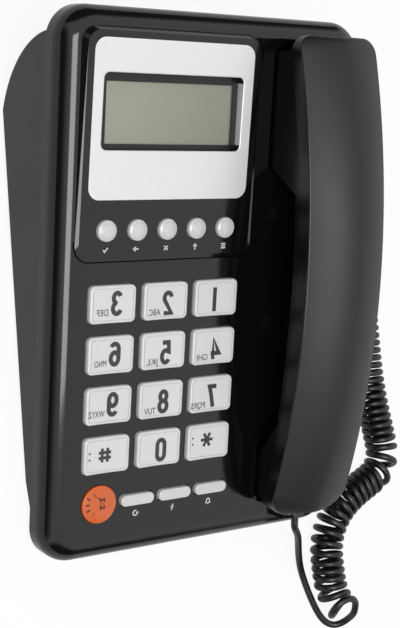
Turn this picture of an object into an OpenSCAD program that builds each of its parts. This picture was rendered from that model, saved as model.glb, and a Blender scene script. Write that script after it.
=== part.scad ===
// A push-button desk telephone: a sloped body with a display and keypad on the
// left, and a lift-off arched handset in a cradle on the right, on a curly cord.
// Lengths are in millimetres, angles in degrees. The face frame lies on the
// sloped face: x to the right, y to the rear, z out of the face.

/* [Body] */
// Margin from the body's left side to the display panel
left_margin = 7.1; // [6:0.1:14]
// Margin from the handset to the body's right side
right_margin = 8; // [7:0.1:14]
// Margin from the body's rear edge to the display panel
rear_margin = 7.2; // [7:0.1:16]
// Margin from the function row's centre line to the body's front edge
front_margin = 22.5; // [19:0.5:30]
// Plan radius of the body's corners
corner_r = 13; // [10:0.5:18]
// Round-over along the top edge
edge_r = 8; // [4:0.5:9]
// Wall of the covers
wall = 2.5; // [2:0.1:3]
// Slope of the face against the desk
tilt = 11.1; // [8:0.1:15]
// Height of the front lower edge above the desk
nose_h = 1.6; // [0.8:0.1:4]

/* [Bottom cover] */
// Radius of the rounded rear end
rear_r = 39; // [30:1:45]
// Depth by which the rear circle runs below the underside
rear_dip = 3.5; // [1:0.5:8]
// Setback of the rear end from the top cover's rear edge
rear_setback = 9.6; // [6:0.1:14]
// Setback of the bottom cover from the top cover's front edge
toe_setback = 19; // [14:0.5:26]
// Slope of the rising front end against the face
toe_slope = 23; // [19:0.5:35]
// Thickness of the lid that closes the top cover's mouth in front and at the rear
lid_t = 1.2; // [1:0.1:2]
// Room between the board's screw heads and that lid
under_room = 0.5; // [0.3:0.1:2]
// Inset of the bottom cover's sides from the top cover's sides
side_inset = 0.3; // [0.2:0.1:1.5]

/* [Display] */
// Width of the raised display panel
panel_w = 77.3; // [76:0.1:90]
// Length of the raised display panel
panel_l = 82.7; // [76:0.1:90]
// Corner radius of the panel
panel_r = 6; // [3:0.5:9]
// Height of the panel's rear edge above the face
panel_rear_h = 2.6; // [1.8:0.1:4]
// Height of the panel's front edge above the face
panel_front_h = 0.5; // [0.4:0.1:1.5]
// Run of the panel's sloped sides
panel_slope = 1.4; // [0.6:0.1:2.5]
// Width of the silver plate
plate_w = 69; // [68:0.1:73]
// Length of the silver plate
plate_l = 56.8; // [50:0.1:58]
// Thickness of the silver plate
plate_t = 0.6; // [0.4:0.1:0.8]
// Margin from the panel's rear edge to the silver plate
plate_margin = 3.8; // [1.6:0.1:4]
// Corner radius of the silver plate
plate_r = 4.5; // [2:0.5:7]
// Width of the display window
window_w = 61; // [50:0.5:63]
// Length of the display window
window_l = 27.7; // [20:0.1:30]
// Distance from the plate's rear edge to the window
window_margin = 11.7; // [8:0.1:16]
// Corner radius of the window
window_r = 2.2; // [0.8:0.1:3]
// Thickness of the clear lens
lens_t = 0.8; // [0.6:0.1:1.2]
// Thickness of the display glass
lcd_t = 2.2; // [1.6:0.1:2.8]
// Rim of the display glass outside the window
lcd_rim = 3.6; // [3:0.1:4.2]

/* [Keys] */
// Width of a key
key_w = 19.3; // [16:0.1:20.5]
// Length of a key
key_l = 14; // [11:0.1:15.5]
// Space between two keys across
key_space_x = 3.54; // [3:0.02:5]
// Space between two keys along
key_space_y = 4.72; // [3.2:0.02:6]
// Offset of the middle key column from the display panel's middle
key_dx = 0.4; // [-1.5:0.1:1]
// Corner radius of a key in plan
key_r = 2; // [1.5:0.1:3]
// Round-over of a key's top edge
key_edge_r = 0.8; // [0.4:0.1:1.2]
// Depth of the dished top of a key
key_dish = 0.5; // [0.2:0.1:0.7]
// Height of a key's top above the face
key_h = 1.9; // [1.6:0.1:3]
// Gap from the display panel to the first key row
key_gap = 8.5; // [4:0.1:14]
// Gap from the last key row to the function row's centre line
function_gap = 11.9; // [10.8:0.1:16]
// Travel of every key and button
key_travel = 1.5; // [0.8:0.1:1.6]
// Clearance round keys and buttons in their holes
key_clear = 0.35; // [0.25:0.05:0.5]
// Width of the flange that holds a key under the cover
flange_w = 0.9; // [0.6:0.1:1]
// Thickness of that flange
flange_t = 1.2; // [0.8:0.1:1.6]
// Length of the stem under a key
stem_l = 1.5; // [1:0.1:2]
// Room that a pressed dome on the rubber mat keeps
dome_room = 0.2; // [0.1:0.05:0.5]
// Thickness of the rubber mat
mat_t = 1; // [0.6:0.1:1.4]

/* [Small buttons] */
// Radius of a round button under the display
round_r = 3.9; // [3:0.1:5]
// Pitch of the round buttons
round_pitch = 13; // [12.4:0.1:14]
// Offset of the middle round button from the display panel's middle
round_dx = -0.2; // [-2:0.1:2]
// Rise of a round button above the face
round_h = 2.8; // [1.8:0.1:3]
// Distance from the panel's front edge to the round buttons
round_margin = 11.2; // [8:0.1:12]
// Radius of the loudspeaker button
speaker_button_r = 7.2; // [6:0.1:8]
// Rise of the loudspeaker button above the face
speaker_button_h = 1.8; // [1.8:0.1:3]
// Offset of the loudspeaker button from the left key column
speaker_button_dx = -1.9; // [-2:0.1:1]
// Length of an oblong button
oblong_l = 14.7; // [12:0.1:15.4]
// Width of an oblong button
oblong_w = 4.5; // [4:0.1:7]
// Rise of an oblong button above the face
oblong_h = 1.9; // [1.4:0.1:3]
// Web of the cover between two oblong buttons
oblong_web = 1.43; // [0.8:0.01:2]
// Web of the cover between the loudspeaker button and the first oblong button
button_web = 1.2; // [0.4:0.1:2]

/* [Handset] */
// Gap from the display panel to the handset
handset_gap = 6.6; // [4.5:0.1:12]
// Width of the handset
hs_w = 37; // [34:0.5:44]
// Gap from the body's rear edge to the handset
hs_rear_gap = 6; // [5:0.5:12]
// Gap from the handset to the body's front edge
hs_front_gap = 11.5; // [11:0.5:18]
// Height of the parting line above the face at the handset's ends
hs_end_h = 13.6; // [13.4:0.1:18]
// Rise of the arched parting line from the ends to the middle
hs_rise = 13.8; // [11:0.1:18]
// Height of the outer shell's crown above the parting line
crown_h = 9; // [7:0.5:12]
// Plan radius of the handset's corners
hs_corner_r = 9; // [7:0.5:13]
// Height of the crown above the parting line at the handset's ends
crown_edge = 5; // [4.6:0.1:7]
// Round-over of the crown's ends
crown_round = 2; // [1:0.1:2.2]
// Thickness of the grip below the parting line
grip_t = 9.5; // [8.5:0.1:11]
// Radius of the grip's arched underside
grip_r = 420; // [380:10:600]
// Depth of the full-width band below the parting line
band_h = 5.5; // [4:0.1:6.5]
// Step in from that band to the lower part
band_step = 1.2; // [0.6:0.1:2]
// Wall of the handset's shells
hs_wall = 2.2; // [1.8:0.1:2.4]
// Setback of the ear block from the handset's rear end
ear_setback = 6; // [3:0.5:8]
// Length of the ear block
ear_l = 44; // [40:0.5:46]
// Run of the slope from the grip to the ear block
ear_run = 10; // [6:0.5:14]
// Length of the mouth block
mouth_l = 26; // [24:0.5:32]
// Run of the slope from the grip to the mouth block
mouth_run = 16; // [10:0.5:22]
// Height of the mouth block's underside above the face
mouth_h = 6.5; // [5:0.1:7]
// Width of the mouth pad that rests in the cradle
pad_w = 29; // [26:0.5:31]

/* [Cradle] */
// Depth of the two cradle wells
well_d = 2.2; // [1.4:0.1:3]
// Clearance round the handset in the wells
well_clear = 1; // [0.6:0.1:1.2]
// Width of the hook plunger
hook_w = 8; // [6:0.5:9]
// Length of the hook plunger
hook_l = 5; // [4:0.5:6]
// Travel of the hook plunger
hook_travel = 4; // [3:0.5:5]

/* [Loudspeaker] */
// Radius of the loudspeaker
speaker_r = 19; // [17:0.5:20]
// Radius of the round field of grille holes
grille_r = 16; // [12:0.5:16.5]
// Pitch of the grille holes
grille_pitch = 3.2; // [2.8:0.1:4.5]
// Radius of a grille hole
grille_hole_r = 0.75; // [0.5:0.05:1]

/* [Sockets] */
// Width of the line socket's mouth
line_mouth_w = 9.7; // [9.6:0.1:11.9]
// Height of the line socket's mouth
line_mouth_h = 6.7; // [6.6:0.1:7]
// Width of the cord sockets' mouths
cord_mouth_w = 7.8; // [7.7:0.1:8.2]
// Height of the cord sockets' mouths
cord_mouth_h = 6.7; // [6.6:0.1:7]
// Depth of the sockets
socket_d = 9.5; // [8.5:0.5:11]
// Wall round the sockets
socket_wall = 1.6; // [1.2:0.1:1.8]
// Length of a cord plug
plug_l = 12; // [11.5:0.5:14]
// Clearance of a plug in its socket
plug_clear = 0.12; // [0.08:0.02:0.2]
// Distance of the cord socket in front of the body's rear edge
cord_socket_y = 56; // [50:1:80]
// Height of the cord socket above the desk
cord_socket_h = 17; // [14:0.5:19]
// Height of the line socket above the desk
line_socket_h = 26; // [22:0.5:28]
// Offset of the line socket from the body's middle
line_socket_x = -35; // [-50:1:50]

/* [Fasteners and feet] */
// Height of the rubber feet
foot_h = 3; // [2:0.5:4]
// Radius of a rubber foot
foot_r = 6; // [4:0.5:8]
// Distance of the feet from the body's sides
foot_margin = 20; // [18:0.5:26]
// Radius of a screw shank
screw_r = 1.5; // [1.2:0.1:1.6]
// Radius of a screw head
head_r = 2.8; // [2.4:0.1:3]
// Height of a screw head
head_h = 2; // [1.4:0.1:2.4]
// Length of a case screw's shank
screw_l = 9; // [6:0.5:10]

/* [Curly cord] */
// Thickness of the cord
cord_d = 2.7; // [2.2:0.1:2.8]
// Outer diameter of the curls
coil_d = 14; // [13:0.1:14.4]
// Number of curls
curls = 52; // [40:1:54]

/* [Hidden] */
$fn = 64;
// Gap between pieces that move against each other
seat = 0.3;
// Reach of cuts that run past a face
past = 1;
// A length longer than the whole object
far = 500;

// Key grid and the printed sign of each key, row by row from the rear
KEY_SIGNS = ["3", "2", "1", "6", "5", "4", "9", "8", "7", "hash", "0", "star"];
KEY_COLUMNS = 3;
KEY_ROWS = 4;
ROUND_COUNT = 5;
OBLONG_NAMES = ["redial_button", "flash_button", "ringer_button"];
KEY_NODES = [for (sign = KEY_SIGNS) str("key_", sign)];
ROUND_NODES = [for (i = [1:ROUND_COUNT]) str("display_button_", i)];

// The stack under the keys, downward from the cover's inner face, and the cover's depth
flange_top = -wall - seat;
stem_bottom = flange_top - flange_t - stem_l;
dome_top = stem_bottom - seat;
dome_h = key_travel + dome_room;
mat_top = dome_top - dome_h;
board_top = mat_top - mat_t;
board_t = 1.6;
board_bottom = board_top - board_t;
board_head_h = 1.2;
cover_h = -board_bottom + board_head_h + under_room + lid_t;

// Pitches of keys and buttons
key_pitch_x = key_w + key_space_x;
key_pitch_y = key_l + key_space_y;
oblong_pitch = oblong_l + 2 * key_clear + oblong_web;
oblong_dx = speaker_button_r + oblong_l / 2 + 2 * key_clear + button_web;

// Overall sizes, built up from what lies side by side on the face
body_w = left_margin + panel_w + handset_gap + hs_w + right_margin;
key_field_l = (KEY_ROWS - 1) * key_pitch_y + key_l;
body_l = rear_margin + panel_l + key_gap + key_field_l + function_gap + front_margin;
rear_y = body_l / 2;
front_y = -body_l / 2;

// The face's height over the desk, and the shift that centres the body on its footprint
face_h = nose_h + body_l / 2 * sin(tilt) + cover_h * cos(tilt);
foremost = (front_y + edge_r) * cos(tilt) + edge_r * sin(tilt) - edge_r;
rearmost = rear_y * cos(tilt) + cover_h * sin(tilt);
shift_y = -(foremost + rearmost) / 2;

// Places of the groups on the face
panel_x = -body_w / 2 + left_margin + panel_w / 2;
panel_y = rear_y - rear_margin - panel_l / 2;
panel_front = panel_y - panel_l / 2;
panel_mid_h = (panel_rear_h + panel_front_h) / 2;
panel_tilt = atan((panel_rear_h - panel_front_h) / panel_l);
plate_y = panel_l / 2 - plate_margin - plate_l / 2;
window_y = plate_y + plate_l / 2 - window_margin - window_l / 2;
first_row_y = panel_front - key_gap - key_l / 2;
function_y = front_y + front_margin;
round_y = panel_front + round_margin;
key_field_x = panel_x + key_dx;
speaker_button_x = key_field_x - key_pitch_x + speaker_button_dx;
hs_x = body_w / 2 - right_margin - hs_w / 2;
hs_rear = rear_y - hs_rear_gap;
hs_front = front_y + hs_front_gap;
hs_l = hs_rear - hs_front;
hs_y = (hs_rear + hs_front) / 2;

// The board beside the handset
post_r = 2.2;
board_side_room = 1.5;
board_front_margin = 6.5;
board_rear_margin = 9.5;
board_left = key_field_x - key_pitch_x - key_w / 2 - flange_w - board_side_room;
board_right = panel_x + panel_w / 2;
board_front = front_y + board_front_margin;
board_rear = rear_y - board_rear_margin;
board_post_inset = 4;
board_screw_r = 1.2;
board_screw_l = 4.5;
dome_r = 3.4;
dome_top_r = 2.2;
stem_r = 2;
round_dome = 1;
oblong_dish = 0.2;
end_flat = 0.05;
speaker_button_dome = 1.1;

// The display under its window
window_clear = 0.2;
collar_t = 1.6;
lcd_bottom = -wall - lcd_t;

// The handset's arch: parting circle, its centre and the underside's circle
arch_r = (pow(hs_l / 2, 2) + pow(hs_rise, 2)) / (2 * hs_rise);
arch_top = hs_end_h + hs_rise;
arch_z = arch_top - arch_r;
grip_bottom = arch_top - grip_t;
block_bottom = -well_d + seat;
ear_rear = hs_rear - ear_setback;
ear_front = ear_rear - ear_l;
ear_w = hs_w - 2 * band_step;
ear_y = (ear_rear + ear_front) / 2;
mouth_rear = hs_front + mouth_l;
pad_front = hs_front + hs_wall;
pad_y = (mouth_rear + pad_front) / 2;
pad_l = mouth_rear - pad_front;
pad_r = 4;
ear_r = 2.2 * well_clear;
seam = 0.05;
hs_head_sink = 0.5;
hs_screw_y = 22;
hs_screw_l = 8;
hs_post_r = 3;
hs_head_seat = grip_bottom + head_h + hs_head_sink;
hs_post_bottom = hs_head_seat + hs_wall;
ear_foot = 1;
ear_ring_r = 6;
ear_hole_r = 1.1;
earpiece_r = 14;
earpiece_h = 5;
earpiece_mouth_r = 9;
earpiece_mouth_h = 1.5;
earpiece_magnet_r = 7;
earpiece_magnet_h = 4;
mic_setback = 3;
mic_r = 4.8;
mic_h = 5.2;
mic_hole_r = 1;
mic_mouth_r = 1.5;
mic_mouth_h = 0.6;
weight_w = 12;
weight_l = 30;
weight_h = 5;

// The hook's guide under the ear well
well_bottom = -well_d - wall;
hook_setback = 8;
hook_y = ear_y + hook_setback;
hook_r = 1;
hook_flange = 1.2;
hook_flange_t = 1.2;
hook_top = -well_d;
hook_stop = 0.5;
hook_flange_top = well_bottom - hook_travel - hook_stop;
spring_room = 6;
guide_bottom = hook_flange_top - hook_flange_t - spring_room;
guide_wall = 1.4;
guide_w = hook_w + 2 * (hook_flange + seat + guide_wall);
guide_l = hook_l + 2 * (hook_flange + seat + guide_wall);
switch_h = 7;
hook_stem_r = 1.4;
hook_stem_bottom = guide_bottom + seat;

// The loudspeaker between the two wells
speaker_setback = 12;
speaker_rim_t = 1.5;
speaker_rim_w = 1;
speaker_cone_h = 4.5;
speaker_cone_in = 7;
speaker_magnet_h = 6;
speaker_magnet_in = 8.5;
speaker_y = (ear_front + mouth_rear) / 2 + speaker_setback;

// Case posts, feet and the underside
case_post_r = 3.6;
case_boss_r = 4.8;
case_side_room = 0.4;
case_front_margin = 16.5;
case_rear_margin = 41.5;
seat_floor = 2.5;
screw_clear = 0.25;
head_clear = 0.4;
pilot_end = 0.5;
lid_clear = 0.2;
case_x = body_w / 2 - wall - case_post_r - case_side_room;
case_front_y = front_y + toe_setback + case_front_margin;
case_rear_y = rear_y - case_rear_margin;
head_seat = cover_h + seat_floor;
toe_y = front_y + toe_setback;
toe_inner_y = toe_y + wall / sin(toe_slope);
toe_row_y = shift_y + toe_y * cos(tilt) + cover_h * sin(tilt);
toe_row_z = face_h + toe_y * sin(tilt) - cover_h * cos(tilt);
toe_contact = toe_row_y + (toe_row_z - foot_h) / tan(toe_slope - tilt);
rear_end = shift_y + rearmost - rear_setback;
rear_cy = rear_end - rear_r;
rear_cz = foot_h - rear_dip + rear_r;
foot_front_room = 3;
foot_rear_room = 1;
foot_front_y = toe_contact + foot_r + foot_front_room;
foot_rear_y = rear_cy + foot_r + foot_rear_room;
rear_lid_y = (rear_end - wall / 2 - shift_y - cover_h * sin(tilt)) / cos(tilt);
foot_x = body_w / 2 - foot_margin;

// Sockets in the row's own level frame
wall_x = body_w / 2 - side_inset;
cord_socket_row_y = shift_y + rearmost - cord_socket_y;
line_socket_sink = 4;
line_socket_row_y = rear_cy + sqrt(pow(rear_r, 2) - pow(rear_cz - line_socket_h + line_socket_sink, 2));
plug_w = cord_mouth_w - 2 * plug_clear;
plug_h = cord_mouth_h - 2 * plug_clear;
plug_end_gap = 1;
plug_inside = socket_d - plug_end_gap;
plug_outside = plug_l - plug_inside;
plug_collar = 1.2;
neck_side = 1;
neck_top = 0.8;
hs_socket_z = 8;

// Curly cord: the axis of the curls, and the two plain tails
coil_r = (coil_d - cord_d) / 2;
coil_axis_h = coil_d / 2 + 0.1;
COIL_AXIS = [[92, 28, 0], [93, 20, 0], [95, 8, 0], [97, -10, 0], [98, -26, 0], [98.5, -40, 0], [100, -53, 0],
             [102, -62.5, 0], [104, -71.5, 0], [105.5, -79.5, 0], [102, -87, 0], [94, -90.5, 0], [86, -94, 0],
             [78.5, -99, 0], [72.5, -106.5, 0], [70, -115.5, 0], [70.8, -124, 0], [71.2, -130.2, 0.1],
             [72, -135.2, 0.9], [73, -139.4, 3.4], [73.4, -141.4, 6.9]];
HANDSET_TAIL = [[80.5, -147, 7.5], [76, -150.5, 3.2], [71, -147.5, 1.5], [67, -141, 1.5],
                [63.5, -133, 1.5], [60, -124, 2], [56.5, -117, 5.5], [52, -110, 11.5], [47, -104.5, 18]];
BASE_TAIL = [[81, 42.5, 17], [84, 38, 17], [85.5, 32, 15]];
// Where the plugs stood when the tails were laid
HANDSET_HOME = [41.5, -95.5, 23.7];
BASE_HOME = [71.2, 44.1, 17];
CURVE_STEPS = 24;
tail_step = 2.6;
tail_h = cord_d / 2 + 0.15;
RINGS_PER_CURL = 8;
// Turn angles where the curls start, on top, and end, on the right
COIL_FROM = 90;
COIL_LEAVE = 190;
CORD_SIDES = 6;

// Places a child on the sloped face
module on_face() {
  translate([0, shift_y, face_h]) rotate([tilt, 0, 0]) children();
}

// Places a flat child in the side view of the sloped face
module on_face_side() {
  translate([shift_y, face_h]) rotate(tilt) children();
}

// Extrudes a side view, drawn as y and z, across the width
module across(w) {
  rotate([90, 0, 90]) linear_extrude(w, center = true) children();
}

module rounded_rect(w, l, r) {
  square([w - 2 * r, l], center = true);
  square([w, l - 2 * r], center = true);
  for (x = [-1, 1], y = [-1, 1])
    translate([x * (w / 2 - r), y * (l / 2 - r)]) circle(r);
}

// A plate with rounded corners from z = low to z = high
module plate(w, l, r, low, high) {
  translate([0, 0, low]) linear_extrude(high - low) rounded_rect(w, l, r);
}

// The outline of a rounded rim: a wall of height h with its top corner rounded by er
module rim_profile(run, h, er) {
  translate([0, -h]) square([run - er, h]);
  translate([0, -h]) square([run, h - er]);
  intersection() {
    translate([run - er, -er]) circle(er);
    translate([run - er, -er]) square(er);
  }
}

// A slab below z = 0 with plan corners of radius pr and a rounded top edge
module pillow(w, l, h, pr, er) {
  translate([-w / 2 + pr, -l / 2 + pr, -h]) cube([w - 2 * pr, l - 2 * pr, h]);
  for (s = [0, 180]) {
    rotate(s) translate([w / 2 - pr, 0, 0]) rotate([90, 0, 0])
      linear_extrude(l - 2 * pr, center = true) rim_profile(pr, h, er);
    rotate(s + 90) translate([l / 2 - pr, 0, 0]) rotate([90, 0, 0])
      linear_extrude(w - 2 * pr, center = true) rim_profile(pr, h, er);
  }
  for (x = [0, 1], y = [0, 1])
    mirror([x, 0, 0]) mirror([0, y, 0]) translate([w / 2 - pr, l / 2 - pr, 0])
      rotate_extrude(angle = 90) rim_profile(pr, h, er);
}

// A solid lofted through closed rings of equal count, with flat ends
module loft(rings) {
  m = len(rings[0]);
  n = len(rings);
  skin = [for (i = [0:n - 2], j = [0:m - 1], half = [0, 1])
    let (a = i * m + j, b = i * m + (j + 1) % m)
    half == 0 ? [a, b, b + m] : [a, b + m, a + m]];
  first = [for (j = [1:m - 2]) [0, j + 1, j]];
  last = [for (j = [1:m - 2]) [(n - 1) * m, (n - 1) * m + j, (n - 1) * m + j + 1]];
  polyhedron([for (ring = rings) each ring], concat(skin, first, last));
}

function unit(v) = v / norm(v);

// A clamped cubic curve that runs smoothly past the points of a list
function curve(p, steps) =
  let (q = concat([p[0], p[0]], p, [p[len(p) - 1], p[len(p) - 1]]))
  concat([for (i = [0:len(q) - 4], k = [0:steps - 1])
    let (t = k / steps, s = 1 - t)
    (pow(s, 3) * q[i] + (3 * pow(t, 3) - 6 * t * t + 4) * q[i + 1]
     + (3 * pow(s, 3) - 6 * s * s + 4) * q[i + 2] + pow(t, 3) * q[i + 3]) / 6],
    [p[len(p) - 1]]);

function running_sum(v) = [for (i = 0, s = 0; i <= len(v); s = s + (i < len(v) ? v[i] : 0), i = i + 1) s];

// A path taken again at even steps along its length
function along(p) = running_sum([for (i = [0:len(p) - 2]) norm(p[i + 1] - p[i])]);
function even(p, step) =
  let (s = along(p), total = s[len(s) - 1], n = ceil(total / step),
       table = [for (c = [0:2]) [for (i = [0:len(p) - 1]) [s[i], p[i][c]]]])
  [for (k = [0:n]) [for (c = [0:2]) lookup(k * total / n, table[c])]];

// Directions along a path, and a side vector carried along it without twist
function directions(p) = [for (i = [0:len(p) - 1]) unit(p[min(i + 1, len(p) - 1)] - p[max(i - 1, 0)])];
function carried(t) =
  [for (i = 0, u = unit(cross(t[0], [0.3, 0.5, 0.8])); i < len(t);
        i = i + 1, u = i < len(t) ? unit(u - t[i] * (u * t[i])) : u) u];

// A round tube with flat ends along a path
module tube(path, d, sides) {
  t = directions(path);
  u = carried(t);
  loft([for (i = [0:len(path) - 1])
    [for (j = [0:sides - 1])
      let (a = -360 * j / sides)
      path[i] + d / 2 * (cos(a) * u[i] + sin(a) * cross(t[i], u[i]))]]);
}

// The underside's side view, drawn inward by inset and run past the parting line by over
module bottom_profile(inset, over) {
  lead = inset / sin(toe_slope);
  intersection() {
    translate([-far, foot_h + inset]) square([2 * far, far]);
    union() {
      translate([rear_cy, rear_cz]) circle(rear_r - inset, $fn = 160);
      translate([-far, -far]) square([far + rear_cy, 2 * far]);
      translate([-far, rear_cz]) square([far + rear_cy + rear_r - inset, far]);
    }
    on_face_side() translate([-far, -cover_h - far + over]) square([2 * far, far]);
    on_face_side() translate([toe_y + lead, -cover_h]) rotate(-toe_slope) translate([-far, 0])
      square([2 * far, far]);
  }
}

module case_places() {
  for (x = [-case_x, case_x], y = [case_front_y, case_rear_y]) translate([x, y, 0]) children();
}

module board_places() {
  for (x = [board_left + board_post_inset, board_right - board_post_inset],
       y = [board_front + board_post_inset, board_rear - board_post_inset])
    translate([x, y, 0]) children();
}

module round_places() {
  for (i = [0:ROUND_COUNT - 1]) translate([round_place(i), round_y, 0]) children();
}

module oblong_places() {
  for (i = [0:len(OBLONG_NAMES) - 1]) translate([oblong_place(i), function_y, 0]) children();
}

function key_x(i) = key_field_x + (i % KEY_COLUMNS - (KEY_COLUMNS - 1) / 2) * key_pitch_x;
function key_y(i) = first_row_y - floor(i / KEY_COLUMNS) * key_pitch_y;
function round_place(i) = panel_x + round_dx + (i - (ROUND_COUNT - 1) / 2) * round_pitch;
function oblong_place(i) = speaker_button_x + oblong_dx + i * oblong_pitch;

// Holes through a plate for the five round buttons
module round_holes(low, high) {
  round_places() translate([0, 0, low]) cylinder(r = round_r + key_clear, h = high - low);
}

module grille_holes() {
  steps = floor(grille_r / grille_pitch);
  for (i = [-steps:steps], j = [-steps:steps])
    if (norm([i, j]) * grille_pitch <= grille_r)
      translate([hs_x + i * grille_pitch, speaker_y + j * grille_pitch, -wall - past])
        cylinder(r = grille_hole_r, h = wall + 2 * past, $fn = 16);
}

// The display opening in the cover, which takes the panel's collar
display_x = panel_x;
display_y = panel_y + window_y;
collar_w = window_w + 2 * collar_t;
collar_l = window_l + 2 * collar_t;

module well_plan(which, grow) {
  if (which == "ear")
    translate([hs_x, ear_y]) rounded_rect(ear_w + 2 * grow, ear_l + 2 * grow, ear_r);
  else
    translate([hs_x, pad_y]) rounded_rect(pad_w + 2 * grow, pad_l + 2 * grow, pad_r);
}

module top_cover() color("#2b2b2d") on_face() difference() {
  union() {
    difference() {
      pillow(body_w, body_l, cover_h, corner_r, edge_r);
      translate([0, 0, -wall])
        pillow(body_w - 2 * wall, body_l - 2 * wall, cover_h, corner_r - wall, edge_r - wall);
    }
    for (which = ["ear", "mouth"])
      translate([0, 0, well_bottom]) linear_extrude(well_d + wall / 2)
        well_plan(which, well_clear + wall);
    intersection() {
      case_places() translate([0, 0, -cover_h]) cylinder(r = case_post_r, h = cover_h - wall / 2);
      translate([0, 0, -wall / 2])
        pillow(body_w - wall, body_l - wall, cover_h, corner_r - wall / 2, edge_r - wall / 2);
    }
    board_places() translate([0, 0, board_top]) cylinder(r = post_r, h = -board_top - wall / 2);
    translate([hs_x, hook_y, 0]) plate(guide_w, guide_l, hook_r, guide_bottom, well_bottom + wall / 2);
  }
  for (which = ["ear", "mouth"])
    translate([0, 0, -well_d]) linear_extrude(well_d + past) well_plan(which, well_clear);
  translate([hs_x, hook_y, 0]) plate(hook_w + 2 * seat, hook_l + 2 * seat, hook_r, guide_bottom - past, 0);
  translate([hs_x, hook_y, 0])
    plate(hook_w + 2 * (hook_flange + seat), hook_l + 2 * (hook_flange + seat), hook_r,
          guide_bottom - past, well_bottom);
  for (i = [0:len(KEY_SIGNS) - 1])
    translate([key_x(i), key_y(i), 0])
      plate(key_w + 2 * key_clear, key_l + 2 * key_clear, key_r + key_clear, -wall - past, past);
  round_holes(-wall - past, past);
  translate([speaker_button_x, function_y, -wall - past])
    cylinder(r = speaker_button_r + key_clear, h = wall + 2 * past);
  oblong_places()
    plate(oblong_l + 2 * key_clear, oblong_w + 2 * key_clear, oblong_w / 2, -wall - past, past);
  translate([display_x, display_y, 0])
    plate(collar_w + 2 * window_clear, collar_l + 2 * window_clear, window_r + collar_t, -wall - past, past);
  grille_holes();
  case_places() translate([0, 0, -cover_h - past])
    cylinder(r = screw_r, h = past + screw_l - seat_floor + pilot_end);
  board_places() translate([0, 0, board_top - past])
    cylinder(r = board_screw_r, h = past + board_screw_l + pilot_end);
}

// Lid inside the top cover's mouth, in front of the toe and behind the rear wall
module lid() {
  edge = wall + lid_clear;
  intersection() {
    plate(body_w - 2 * edge, body_l - 2 * edge, corner_r - edge, -cover_h, -cover_h + lid_t);
    union() {
      translate([-far / 2, toe_inner_y - far, -far]) cube([far, far, far]);
      translate([-far / 2, rear_lid_y, -far]) cube([far, far, far]);
    }
  }
}

module bottom_cover() color("#333335") difference() {
  union() {
    difference() {
      across(body_w - 2 * side_inset) bottom_profile(0, 0);
      across(body_w - 2 * side_inset - 2 * wall) bottom_profile(wall, past);
    }
    on_face() lid();
    intersection() {
      across(body_w - 2 * side_inset) bottom_profile(0, 0);
      on_face() case_places() translate([0, 0, -far]) cylinder(r = case_boss_r, h = far - cover_h);
    }
  }
  on_face() case_places() {
    translate([0, 0, -far]) cylinder(r = screw_r + screw_clear, h = far);
    translate([0, 0, -far]) cylinder(r = head_r + head_clear, h = far - head_seat);
  }
  line_socket_block(plug_clear);
  cord_socket_block(plug_clear);
}

// The panel's own frame: z = 0 on its sloped top, at its middle
module on_panel() {
  translate([panel_x, panel_y, panel_mid_h]) rotate([panel_tilt, 0, 0]) children();
}

module display_panel() color("#262628") on_face() difference() {
  union() {
    hull() {
      translate([panel_x, panel_y, 0]) plate(panel_w, panel_l, panel_r, 0, 0.2);
      on_panel() plate(panel_w - 2 * panel_slope, panel_l - 2 * panel_slope, panel_r - panel_slope / 2, -0.2, 0);
    }
    translate([display_x, display_y, 0])
      plate(collar_w, collar_l, window_r + collar_t, -wall, panel_front_h);
  }
  translate([display_x, display_y, 0])
    plate(window_w, window_l, window_r, -wall - past, panel_rear_h + past);
  on_panel() translate([0, plate_y, 0]) plate(plate_w, plate_l, plate_r, -plate_t, past);
  round_holes(-past, panel_rear_h + past);
}

module display_plate() color("#e2e2e4") on_face() difference() {
  on_panel() translate([0, plate_y, 0]) plate(plate_w, plate_l, plate_r, -plate_t, 0);
  translate([display_x, display_y, 0])
    plate(window_w, window_l, window_r, -past, panel_rear_h + past);
}

module display_lens() color([0.8, 0.85, 0.85, 0.5]) on_face() translate([display_x, display_y, 0])
  plate(window_w, window_l, window_r, -wall, -wall + lens_t);

module lcd_glass() color("#9b9a8b") on_face() translate([display_x, display_y, 0])
  plate(window_w + 2 * lcd_rim, window_l + 2 * lcd_rim, 0.8, lcd_bottom, -wall);

module lcd_holder() color("#1c1c1e") on_face() translate([display_x, display_y, 0]) difference() {
  plate(window_w + 2 * lcd_rim, window_l + 2 * lcd_rim, 0.8, board_top, lcd_bottom);
  plate(window_w, window_l, 0.8, board_top - past, lcd_bottom + past);
}

// A dome of the mat at every key and button
module dome() {
  translate([0, 0, mat_top]) cylinder(r1 = dome_r, r2 = dome_top_r, h = dome_h, $fn = 32);
}

module key_mat() color("#b9b9b4") on_face() {
  for (i = [0:len(KEY_SIGNS) - 1]) translate([key_x(i), key_y(i), 0]) dome();
  round_places() dome();
  oblong_places() dome();
  translate([speaker_button_x, function_y, 0]) dome();
  translate([board_left + 1, function_y - speaker_button_r, board_top])
    cube([board_right - board_left - 2, round_y + round_r - function_y + speaker_button_r + 1, mat_t]);
}

module main_board() color("#2f6b45") on_face() difference() {
  translate([board_left, board_front, board_bottom])
    cube([board_right - board_left, board_rear - board_front, board_t]);
  board_places() translate([0, 0, board_bottom - past])
    cylinder(r = board_screw_r + screw_clear, h = board_t + 2 * past);
}

// A screw pointing up, with its head below z = 0
module screw(r, l, head) {
  cylinder(r = r, h = l);
  translate([0, 0, -head]) cylinder(r = head_r, h = head);
}

module board_screws() color("#b8b8ba") on_face() board_places()
  translate([0, 0, board_bottom]) screw(board_screw_r, board_t + board_screw_l, board_head_h);

module case_screws() color("#b8b8ba") on_face() case_places()
  translate([0, 0, -head_seat]) screw(screw_r, screw_l, head_h);

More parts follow.
